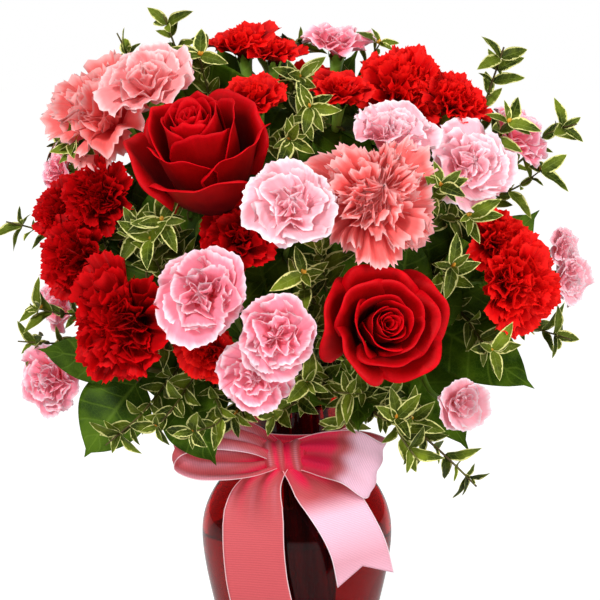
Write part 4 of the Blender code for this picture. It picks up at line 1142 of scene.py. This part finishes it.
def makeStems():
    for name in ("stem_" + stem for stem in stems):
        build = newBuild()
        for path in (path for path in paths if path["name"] == name):
            points, radius = list(path["points"]), path["radius"]
            for bloom in path["blooms"]:
                base, axis = standing(bloom)
                points.append(base - axis * calyxShape["stemEnd"] * mm)
                addCalyx(build, bloom)
            line = smoothLine(points, 5)
            radii = [radius * (1 + 0.06 * math.sin(i * 0.7)) for i in range(len(line))]
            if path["kind"] == "main" and not path["blooms"]:  # the stem swells at its fork
                radii[-3:] = [radius * swelling for swelling in stemSizes["forkSwelling"]]
            # tone 0: the stems are painted darker than their calyxes, as shade inside the bunch
            addTube(build, line, radii, 10, 0.0)
        settle(meshOf(build, camelName(name), materials["stem"]), "stem_green", name)


makeStems()
print("stems ready")


# Salal branches with large leaves

# Leaves look out of the bunch, a little up, and in front towards the viewer
leafLook = {"frontBefore": 26 * mm, "forwards": -1.5, "up": 0.35}
leafForm = {"bulge": 0.80, "tipWidth": 0.09, "twist": 0.07, "sway": 0.05}  # of every leaf
salalShape = {"rows": 25, "columns": 13, "fullness": 0.70, "fold": 0.16, "droop": 0.08,
              "tip": 0.08, "wave": 0.03, "thickness": 0.45 * mm, "seed": 11,
              "stalk": 9 * mm, "stalkShare": 0.16, "stalkRadii": (1.1, 0.6)}
hidden = {  # the shell of leaves behind the blooms, in mm
    "leaves": 74, "middle": (0, -6, 302), "reach": (102, 68, 90), "length": 66, "width": 38,
    "rows": 11, "columns": 7, "fullness": 0.7, "fold": 0.16, "droop": 0.16, "tip": 0.08,
    "wave": 0.03, "seed": 21, "lowest": -0.62, "scatter": 0.5, "outwards": 0.12, "roll": 20,
}


def leafGrid(length, width, shape, draw):  # a pointed leaf along +X, its upper face to +Z
    tip, sway = shape["tip"], leafForm["sway"]
    t, s = axes(shape["rows"], shape["columns"])
    body = np.clip(t / (1 - tip), 0, 1)
    half = 0.5 * width * np.sin(math.pi * body ** leafForm["bulge"]).clip(0) ** shape["fullness"]
    point = leafForm["tipWidth"] * width * np.clip((1 - t) / (2 * tip), 0, 1) * (t > 0.5)
    half = np.maximum(half, point)
    y = s * half
    phase = draw.uniform(0, math.tau)
    z = shape["fold"] * np.abs(y) ** 1.3 / (0.5 * width) ** 0.3 - shape["droop"] * length * t**2
    reach = y / (0.5 * width)
    z = z + shape["wave"] * width * reach**2 * np.sin(t * 9 + phase + np.sign(s) * 1.1)
    z = z + leafForm["twist"] * draw.uniform(-1, 1) * length * t**2 * reach
    y = y + draw.uniform(-sway, sway) * length * t**2
    return np.stack([length * t + 0 * s, y, z], axis=-1)


def leafFacing(root, direction, look, roll):  # its upper face looks as far along look as it can
    along = direction.normalized()
    face = (look - along * look.dot(along)).normalized()
    turn = Matrix((along, face.cross(along), face)).transposed().to_4x4()
    return Matrix.Translation(root) @ turn @ Matrix.Rotation(roll, 4, "X")


def outwards(spot):
    out = Vector((spot.x, spot.y, 0)).normalized()
    forwards = leafLook["forwards"] if spot.y < leafLook["frontBefore"] else 0
    return out + Vector((0, forwards, leafLook["up"]))


def moved(grid, matrix):
    m = np.array(matrix)
    return grid @ m[:3, :3].T + m[:3, 3]


def hiddenLeaves():  # root, tip, width and twist of each leaf of the shell
    shape, draw = hidden, random.Random(hidden["seed"])
    scatter, roll = shape["scatter"], shape["roll"]
    leaves = []
    for i in range(shape["leaves"]):
        height = 1 + (shape["lowest"] - 1) * (i + 0.5) / shape["leaves"]
        bearing = i * goldenTurn
        flat = math.sqrt(max(0.0, 1 - height * height))
        out = Vector((flat * math.cos(bearing), flat * math.sin(bearing), height))
        spot = Vector(shape["middle"]) + Vector(
            reach * part for reach, part in zip(shape["reach"], out))
        rise = upwards - out * out.z + Vector([draw.uniform(-scatter, scatter) for _ in range(3)])
        rise = (rise - out * rise.dot(out)).normalized() + out * shape["outwards"]
        length = shape["length"] * draw.uniform(0.85, 1.15)
        root = spot - rise * length * 0.5
        tip = root + rise * length
        leaves.append((root * mm, tip * mm, shape["width"], draw.uniform(-roll, roll)))
    return leaves


def makeSalal():
    draw = random.Random(salalShape["seed"])
    branches = {path["name"]: path for path in paths if path["name"] in salal}
    shell = {name: [] for name in branches}
    for leaf in hiddenLeaves():  # each leaf of the shell grows from the branch it is nearest to
        near = {name: min((p - leaf[0]).length for p in path["points"][3:])
                for name, path in branches.items()}
        shell[min(near, key=near.get)].append((hidden, *leaf))
    for name, path in branches.items():
        build, wood = newBuild(), newBuild()
        line = smoothLine(path["points"], 4)
        addTube(wood, line, [path["radius"]] * len(line), 8, 0.5)
        listed = [(salalShape, *metres(ends), width, 0) for *ends, width in salal[name][1]]
        for shape, root, tip, width, roll in listed + shell[name]:
            isHidden = shape is hidden
            start = min(path["points"][3:], key=lambda p: (p - root).length)
            origin = root if isHidden else start
            direction = tip - origin
            stalk = min(salalShape["stalk"], salalShape["stalkShare"] * direction.length)
            grid = leafGrid(direction.length - stalk, width * mm, shape, draw)
            grid[..., 0] += stalk
            look = outwards(origin.lerp(tip, 0.6))
            lay = leafFacing(origin, direction, look, math.radians(roll))
            addGrid(build, moved(grid, lay), 0.0 if isHidden else draw.random())
            foot = lay @ Vector((stalk * 1.3, 0, 0))
            stem = [start, (start + foot) / 2, foot]
            if isHidden:
                stem = smoothLine([start, start.lerp(root, 0.6), root, foot], 3)
            addTube(wood, stem, np.linspace(*salalShape["stalkRadii"], len(stem)) * mm, 6, 0.7)
        leaves = meshOf(build, camelName(name) + "Leaves", materials["salal"],
                        salalShape["thickness"])
        settle(leaves, "salal_leaf", name)
        settle(meshOf(wood, camelName(name) + "Wood", materials["wood"]), "salal_leaf", name)


makeSalal()
print("salal ready")


# Variegated sprigs: pairs of small leaves along each twig, each pair turned a quarter

sprigLeaves = {"Spacing": 8.5 * mm, "Leaf Length": 20 * mm, "Lift": 0.80, "Jitter": 0.7,
               "Facing": 0.55, "Seed": 3}
smallLeaf = {"rows": 11, "columns": 7, "fullness": 0.62, "fold": 0.30, "droop": 0.26,
             "tip": 0.05, "wave": 0.07, "width": 0.42, "seed": 5}
buds = {"along": (0, 0.8, 1.8, 2.8, 3.4), "radii": (0.4, 0.9, 1.1, 0.8, 0.2), "seed": 8}  # in mm
# A main stem bears leaves above this height or beyond this distance from the axis
leafyFrom = {"height": 0.236, "fromAxis": 0.062, "endsBefore": 7 * mm}
fillers = {  # twigs between the blooms: where they start, and the ways on from there, in mm
    "sprig_left": [
        ((-40, -20, 250), [
            [(-70, -55, 270), (-84, -78, 300), (-88, -96, 318)],
            [(-52, -60, 270), (-78, -84, 324), (-80, -104, 330)],
        ]),
        ((-40, -20, 240), [
            [(-60, -60, 232), (-74, -92, 216), (-84, -104, 206)],
            [(-52, -60, 226), (-46, -92, 208), (-62, -112, 204)],
        ]),
        ((-84, 6, 262), [
            [(-122, -20, 262), (-146, -32, 264), (-160, -40, 268)],
            [(-120, 0, 300), (-132, -20, 360), (-138, -30, 372)],
        ]),
        ((-40, -20, 250), [
            [(-60, -40, 262), (-66, -76, 262), (-78, -92, 258)],
        ]),
    ],
    "sprig_top": [
        ((-36, 26, 318), [
            [(-10, 0, 380), (-2, -30, 404), (2, -44, 412)],
            [(-50, 0, 380), (-58, -14, 412), (-60, -20, 424)],
            [(0, -20, 360), (6, -60, 392), (8, -80, 396)],
            [(20, 10, 380), (46, 6, 420), (52, 2, 430)],
            [(-30, -30, 360), (-8, -80, 376), (-4, -96, 378)],
        ]),
    ],
    "sprig_right": [
        ((62, 14, 280), [
            [(80, -30, 290), (90, -66, 292), (94, -84, 300)],
            [(84, -20, 320), (96, -56, 326), (104, -76, 330)],
            [(76, -30, 322), (79, -76, 340), (86, -96, 350)],
            [(96, -20, 270), (114, -50, 250), (120, -66, 246)],
        ]),
        ((82, 18, 300), [
            [(120, 0, 330), (140, -10, 342), (152, -18, 352)],
            [(110, -10, 350), (124, -34, 376), (130, -40, 384)],
        ]),
    ],
    "sprig_low": [
        ((24, -30, 222), [
            [(8, -70, 232), (2, -104, 236), (6, -122, 236)],
            [(10, -70, 222), (-8, -96, 214), (-14, -104, 212)],
            [(30, -60, 250), (6, -100, 286), (4, -118, 300)],
            [(48, -60, 222), (66, -84, 212), (70, -92, 208)],
            [(36, -60, 216), (52, -88, 208), (60, -100, 210)],
            [(20, -60, 270), (14, -96, 312), (12, -112, 322)],
            [(34, -48, 224), (34, -60, 214), (30, -68, 204)],
            [(0, -50, 228), (-12, -70, 224), (-22, -80, 219)],
            [(-14, -44, 224), (-32, -56, 214), (-38, -64, 206)],
        ]),
    ],
    "sprig_back": [
        ((0, 44, 270), [
            [(-30, 80, 280), (-60, 92, 270), (-80, 96, 262)],
            [(30, 80, 270), (56, 92, 250), (70, 100, 240)],
            [(-20, 80, 320), (-10, 104, 322), (-4, 116, 330)],
            [(40, 70, 330), (64, 84, 356), (72, 88, 370)],
            [(-40, 60, 340), (-56, 60, 372), (-60, 62, 388)],
        ]),
    ],
}


def buildSprigTree():
    tree, given, leave = newTree("sprigLeaves", "GeometryNodeTree", {
        "Twigs": "Geometry", "Leaf": "Object", **sprigLeaves, "Material": "Material",
    }, {"Geometry": "Geometry"})
    whole = place(tree, "GeometryNodeSplineLength")
    gone = place(tree, "GeometryNodeSplineParameter", output="Length")
    twigs = given["Twigs"].into("StoreNamedAttribute", Name="left", Value=whole - gone)
    points = place(tree, "GeometryNodeCurveToPoints", settings={"mode": "LENGTH"}, Curve=twigs,
                   Length=given["Spacing"])
    rotation = Wire(tree, points.socket.node.outputs["Rotation"])
    index = place(tree, "GeometryNodeInputIndex")
    leaf = place(tree, "GeometryNodeObjectInfo", output="Geometry", Object=given["Leaf"])
    join = tree.nodes.new("GeometryNodeJoinGeometry")

    def turned(before, axis, angle):
        step = place(tree, "FunctionNodeAxisAngleToRotation", Axis=axis, Angle=angle)
        return place(tree, "FunctionNodeRotateRotation", settings={"rotation_space": "LOCAL"},
                     Rotation=before, Rotate_By=step)

    x, y, _ = separate(place(tree, "GeometryNodeInputPosition"))
    reach = (x * x + y * y) ** 0.5
    inFront = y.math("LESS_THAN", leafLook["frontBefore"])
    look = combine(x / reach, y / reach + inFront * leafLook["forwards"], leafLook["up"])
    left = place(tree, "GeometryNodeInputNamedAttribute", Name="left")
    atTip = left.math("LESS_THAN", given["Spacing"] * 1.02)
    for hand in range(5):  # a pair at every step, and three more leaves at the tip
        draws = [randomDraw(index, given["Seed"] + step * 10 + hand) for step in range(5)]
        jitter = [(draw - 0.5) * given["Jitter"] for draw in draws[:3]]
        inTuft = hand > 1
        angle = index * (math.pi / 2) + hand * (math.tau / 3 if inTuft else math.pi) + jitter[0]
        around = turned(rotation, (0, 0, 1), angle)
        lift = given["Lift"] * (-0.30 if hand == 2 else -0.55) if inTuft else given["Lift"] * -1
        out = turned(around, (0, 1, 0), lift + jitter[1])
        rolled = turned(out, (1, 0, 0), jitter[2] * 1.5)
        rolled = place(tree, "FunctionNodeAlignRotationToVector", Rotation=rolled, Vector=look,
                       Factor=given["Facing"], settings={"axis": "Z", "pivot_axis": "X"})
        length = given["Leaf Length"] * (draws[3] * 0.65 + 0.50)
        leaves = place(tree, "GeometryNodeInstanceOnPoints", Points=points, Instance=leaf,
                       Rotation=rolled, Scale=combine(length, length, length))
        if inTuft:
            plug(tree, atTip, leaves.socket.node.inputs["Selection"])
        leaves = leaves.into("StoreNamedAttribute", {"domain": "INSTANCE"}, Name="tone",
                             Value=draws[4])
        plug(tree, leaves, join.inputs[0])
    leaves = Wire(tree, join.outputs[0]).into("RealizeInstances")
    leaves = leaves.into("SetMaterial", Material=given["Material"])
    return finishTree(tree, leave, Geometry=leaves)


def curveOf(name, lines):
    curve = bpy.data.curves.new(name, "CURVE")
    curve.dimensions = "3D"
    for line in lines:
        spline = curve.splines.new("POLY")
        spline.points.add(len(line) - 1)
        for point, spot in zip(spline.points, line):
            point.co = (*spot, 1)
    return curve


def addBuds(build, spot, draw):  # three small buds at the end of a twig
    for _ in range(3):
        up = Vector((draw.uniform(-1, 1), draw.uniform(-1, 1), 1.2)).normalized()
        addTube(build, [spot + up * step * mm for step in buds["along"]],
                [radius * mm for radius in buds["radii"]], 8, draw.random())


def makeSprigs():
    tree = buildSprigTree()
    tips, draw = newBuild(), random.Random(buds["seed"])
    build = newBuild()
    addGrid(build, leafGrid(1.0, smallLeaf["width"], smallLeaf, random.Random(smallLeaf["seed"])))
    leaf = meshOf(build, "smallLeaf", materials["sprig"])
    leaf.data.attributes.remove(leaf.data.attributes["tone"])
    for order, name in enumerate(sprigs):
        wood, lines = newBuild(), []
        for path in (path for path in paths if path["name"] == name):
            line = smoothLine(path["points"], 4)
            addTube(wood, line, path["radius"] * np.linspace(1.0, 0.45, len(line)), 6)
            leafy = [p for p in line if p.z > leafyFrom["height"]
                     or math.hypot(p.x, p.y) > leafyFrom["fromAxis"]]
            leafy = leafy if path["kind"] == "main" else line[3:]
            ends = leafyFrom["endsBefore"]
            lines.append([p for p in leafy if (p - line[-1]).length > ends])
        for way in [[first, *way] for first, ways in fillers[name] for way in ways]:
            line = smoothLine(metres(way), 5)
            addTube(wood, line, stemSizes["twig"] * np.linspace(0.9, 0.4, len(line)), 6)
            addBuds(tips, line[-1], draw)
            lines.append(line[1:])
        values = dict(sprigLeaves, Leaf=leaf, Seed=sprigLeaves["Seed"] + order,
                      Material=materials["sprig"])
        mesh = runTree(tree, camelName(name), values, curveOf(name, lines))
        settle(addObject(camelName(name) + "Leaves", mesh), "variegated_leaf", name)
        settle(meshOf(wood, camelName(name) + "Twigs", materials["wood"]), "variegated_leaf", name)
    bpy.data.objects.remove(leaf)
    settle(meshOf(tips, "sprigBuds", materials["bud"]), "variegated_leaf")


makeSprigs()
print("sprigs ready")


# Vase and water

vaseShape = {  # the outline as height and radius in mm, from the rim down
    "outline": [(205, 34), (195, 31), (180, 30), (167, 35), (148, 52), (128, 60),
                (104, 59.5), (66, 51.5), (24, 41), (4, 37), (0, 35)],
    "wall": 3 * mm, "floor": 9 * mm, "innerFloorRadius": 31 * mm, "water": 119 * mm,
    "sides": 96, "gap": -0.1 * mm,  # the water reaches into the glass, so no film of air shows
    "foot": [(0.030, 0), (0.0345, 0.0005)],  # radius and height along its edge
    "footTop": 0.003, "corner": 0.006,
    "rimHeight": 0.0012, "rimTurn": 0.2, "onAxis": 0.0001, "mergeBelow": 0.00002,
    "outsideRows": 70, "rimRows": 7, "insideRows": 66, "waterRows": 50,
}


def vaseRadius(height):  # a smooth line through the outline's points
    points = [(z * mm, r * mm) for z, r in vaseShape["outline"]]
    for i, ((z0, r0), (z1, r1)) in enumerate(zip(points, points[1:])):
        if z1 - 1e-9 <= height <= z0 + 1e-9:
            before, after = points[max(i - 1, 0)], points[min(i + 2, len(points) - 1)]
            slope0 = (r1 - before[1]) / (z1 - before[0])
            slope1 = (after[1] - r0) / (after[0] - z0)
            step = z1 - z0
            t = (height - z0) / step
            return (
                (2 * t**3 - 3 * t**2 + 1) * r0 + (t**3 - 2 * t**2 + t) * step * slope0
                + (3 * t**2 - 2 * t**3) * r1 + (t**3 - t**2) * step * slope1
            )


def roundRow(radius, z, angles):
    return np.stack([radius * np.cos(angles), radius * np.sin(angles), z + 0 * angles], axis=-1)


def makeTurned(name, outline, material, slot, node):
    build = newBuild()
    angles = np.arange(vaseShape["sides"]) * math.tau / vaseShape["sides"]
    addGrid(build, np.array([roundRow(r, z, angles) for r, z in outline]), closed=True)
    piece = meshOf(build, name, material)
    bm = bmesh.new()
    bm.from_mesh(piece.data)
    bmesh.ops.remove_doubles(bm, verts=bm.verts, dist=vaseShape["mergeBelow"])
    bmesh.ops.recalc_face_normals(bm, faces=bm.faces)
    bm.to_mesh(piece.data)
    bm.free()
    settle(piece, slot, node)


def makeVase():
    shape = vaseShape
    wall, low, corner = shape["wall"], shape["floor"], shape["innerFloorRadius"]
    top, rimHeight = shape["outline"][0][0] * mm, shape["rimHeight"]

    def side(start, end, inset, rows):
        return [(vaseRadius(z) - inset, z) for z in np.linspace(start, end, rows)]

    outside = [(shape["onAxis"], 0), *shape["foot"]]
    outside += side(shape["footTop"], top - 0.001, 0, shape["outsideRows"])
    middle = vaseRadius(top) - wall / 2
    rim = [(middle + wall / 2 * math.cos(a), top - rimHeight + rimHeight * math.sin(a))
           for a in np.linspace(shape["rimTurn"], math.pi - shape["rimTurn"], shape["rimRows"])]
    inside = side(top - 0.002, low + shape["corner"], wall, shape["insideRows"])
    inside += [(corner + 0.002, low + 0.002), (corner - 0.003, low), (shape["onAxis"], low)]
    makeTurned("rubyVase", outside + rim + inside, materials["glass"], "ruby_glass", "vase")
    level, gap = shape["water"], shape["gap"]
    skin, edge = wall + gap, vaseRadius(shape["water"])
    outline = [(shape["onAxis"], level), (edge - skin - 0.003, level),
               (edge - skin, level + 0.0008)]
    outline += side(level - 0.001, low + shape["corner"], skin, shape["waterRows"])
    outline += [(corner - gap, low + 0.002), (corner - 0.004, low + gap),
                (shape["onAxis"], low + gap)]
    makeTurned("vaseWater", outline, materials["water"], "water", "water")


makeVase()
print("vase ready")


# Ribbon: a gathered band round the neck, and a bow of a knot, two loops and two tails

ribbonShape = {
    "width": 38 * mm, "thickness": 0.35 * mm, "back": 2.4 * mm, "columns": 17,
    "bandLow": 165.5 * mm, "bandHigh": 187 * mm, "bandFolds": 5, "bandDepth": 2.0 * mm,
    "bandOff": 1.1 * mm, "bandRadius": 34, "bandSteps": 97, "bandRows": 41,
    "loopFoldDepth": 2.6 * mm, "tailFoldDepth": 2.2 * mm, "folds": 2.5, "shares": 15,
    "loopWidths": (0.42, 0.54), "tailWidths": (0.5, 1.6),  # at the knot, and what comes on top
    "knotRows": 33, "knotColumns": 49,
    "knot": (-8, -45.5, 175), "knotHalf": (15.5, 9, 10.5), "knotFolds": 3.0, "knotDepth": 1.1 * mm,
    "knotCrease": 0.34, "knotTurn": 2.2,
}
loops = {  # waypoints in mm, direction of the width, share of painted light along the way, from the fold colour at 0 to the painted highlight at 1
    "left": ([(-12, -45, 173), (-26, -54, 172), (-44, -61, 173), (-62, -62, 175), (-75, -57, 181),
              (-72, -53, 189), (-58, -53, 193), (-42, -54, 192), (-26, -50, 187), (-12, -44, 178)],
             (0.04, 0.86, 0.50), [0.1, 0.2, 0.44, 0.54, 0.54, 0.40, 0.54, 0.58, 0.44, 0.2]),
    "right": ([(-8, -44, 176), (6, -51, 179), (19, -61, 180), (33, -67, 179), (47, -63, 170),
               (50, -52, 171), (36, -48, 176), (16, -45, 178), (-6, -43, 177)],
              (0.30, 0.12, 1), [0.0, 0.0, 0.06, 0.95, 1.0, 0.5, 0.1, 0.0, 0.0]),
}
tails = {  # waypoints, direction of the width, notch at the end in mm, share of painted light on the way, from the fold colour at 0 to the painted highlight at 1
    "left": ([(-12, -44, 172), (-25, -60, 158), (-27, -69, 132), (-25, -70, 104),
              (-20, -67, 76), (-21, -60, 54)], (1, 0, 0.04), 6,
             [0.1, 0.38, 0.42, 0.40, 0.36, 0.34]),
    "right": ([(-2, -44, 172), (14, -59, 160), (28, -68, 142), (38, -67, 122),
               (43, -61, 100)], (1, 0.4, 0.2), 10, [0.1, 0.12, 0.45, 0.95, 0.86, 0.74, 0.82]),
}


def ribbonGrid(waypoints, across, widths, depth, pale, notch=0.0, rows=60):
    # lays the ribbon's width along a line: its lengthwise folds are deepest where it is narrow
    back = Vector((0, ribbonShape["back"], 0))
    line = np.array([tuple(p) for p in smoothLine([Vector(p) * mm + back for p in waypoints], 12)])
    steps = np.linalg.norm(np.diff(line, axis=0), axis=1)
    distance = np.concatenate([[0], np.cumsum(steps)])
    total = distance[-1]
    t, s = axes(rows, ribbonShape["columns"])
    t = t * (1 - notch * mm / total * (1 - np.abs(s)))
    shape = t.shape
    share, sides = t.ravel(), np.broadcast_to(s, shape).ravel()
    ahead = np.gradient(line, distance, axis=0)
    flat = (t * total).ravel()
    spot, ahead = (np.stack([np.interp(flat, distance, values[:, k]) for k in range(3)], axis=-1)
                   for values in (line, ahead))
    ahead /= np.linalg.norm(ahead, axis=1, keepdims=True)
    side = np.array(across, float) / np.linalg.norm(across)
    out = np.cross(side[None], ahead)
    out /= np.linalg.norm(out, axis=1, keepdims=True)
    width, highlightShare = (np.interp(share, np.linspace(0, 1, len(values)), values)
                       for values in (widths, pale))
    gather = np.sqrt(np.clip(1 - (width / ribbonShape["width"]) ** 2, 0, 1))
    fold = np.cos(sides * math.pi * ribbonShape["folds"] + share * 2.0)
    lift = depth * gather * fold + 0.8 * mm * np.sin(share * 9 + sides * 1.5) * (1 - gather)
    grid = spot + side * (sides * width / 2)[:, None] + out * lift[:, None]
    # the tone is painted light: the painted highlight share along the way, paler on the ridges of
    # the folds and nearer the fold colour in their troughs
    tone = (highlightShare + 0.25 * gather * fold).clip(0, 1).reshape(shape)
    uv = np.stack([np.broadcast_to((s + 1) / 2, shape), t * total], axis=-1)
    return grid.reshape(*shape, 3), tone, uv, total


def makeBand():
    shape = ribbonShape
    angles = np.linspace(0, math.tau, shape["bandSteps"])[:-1]
    heights = np.linspace(0, 1, shape["bandRows"])
    drift = 0.9 * np.sin(angles * 2 + 1) + 0.7 * np.sin(angles * 3)
    rows = []
    for t in heights:
        z = blend(shape["bandLow"], shape["bandHigh"], t)
        fold = 0.5 + 0.5 * np.sin(t * math.tau * shape["bandFolds"] + drift)
        radius = vaseRadius(z) + shape["bandOff"] + shape["bandDepth"] * fold
        rows.append(roundRow(radius, z, angles))
    build = newBuild()
    girth = math.tau * shape["bandRadius"] * mm
    along, up = np.meshgrid(np.linspace(0, girth, shape["bandSteps"]), heights)
    addGrid(build, np.array(rows), 0.15, closed=True, uv=np.stack([up, along], axis=-1))
    band = meshOf(build, "ribbonBand", materials["ribbon"], shape["thickness"])
    settle(band, "ribbon", "ribbon_band")
    return girth


def knotGrid():  # pleats run round the knot and spread at its top and bottom
    shape, turn = ribbonShape, ribbonShape["knotTurn"]
    centre = np.array(shape["knot"]) * mm + np.array([0, shape["back"], 0])
    halfX, halfY, halfZ = (half * mm for half in shape["knotHalf"])
    s = np.linspace(-1, 1, shape["knotColumns"])[None, :]
    a = np.linspace(-turn, turn, shape["knotRows"])[:, None]
    fold = np.cos((s + 0.10 * np.sin(a * 1.5)) * math.pi * shape["knotFolds"] + 0.4)
    crease = np.exp(-(((s - 0.06 + 0.05 * a) / 0.13) ** 2))  # parts the knot in two puffs
    swell = 1 - 0.30 * s**4 - shape["knotCrease"] * crease + shape["knotDepth"] / halfY * fold
    x = s * halfX * (0.80 + 0.28 * (a / turn) ** 2)
    grid = np.stack([x, -halfY * np.cos(a) * swell, halfZ * np.sin(a) * swell], axis=-1) + centre
    along = (a + turn) * (halfY + halfZ) / 2
    uv = np.stack([s * 0.46 + 0.5 + 0 * a, along + 0 * s], axis=-1)  # its selvedges are tucked in
    # painted light on the knot: paler on the ridges of its pleats as a painted highlight, nearer
    # the fold colour between them and in its crease
    tone = (0.32 + 0.24 * fold - 0.36 * crease + 0 * a).clip(0, 1)
    return grid, tone, uv, float(along[-1, 0])


def makeBow():
    shape = ribbonShape
    share = np.linspace(0, 1, shape["shares"])
    narrow, more = shape["loopWidths"]
    loopWidths = shape["width"] * (narrow + more * np.sin(math.pi * share))
    narrow, more = shape["tailWidths"]
    tailWidths = shape["width"] * np.minimum(1, narrow + more * share)
    grids = [ribbonGrid(waypoints, across, loopWidths, shape["loopFoldDepth"], pale, rows=80)
             for waypoints, across, pale in loops.values()]
    grids += [ribbonGrid(waypoints, across, tailWidths, shape["tailFoldDepth"], pale, notch)
              for waypoints, across, notch, pale in tails.values()]
    grids.append(knotGrid())
    build = newBuild()
    for grid, tone, uv, _ in grids:
        addGrid(build, grid, tone, uv=uv)
    length = sum(total for *_, total in grids)
    bow = meshOf(build, "ribbonBow", materials["ribbon"], shape["thickness"])
    settle(bow, "ribbon", "ribbon_bow")
    return length


bandLength = makeBand()
bowLength = makeBow()
print("ribbon ready:", round(bandLength / mm), "mm band and", round(bowLength / mm), "mm bow")
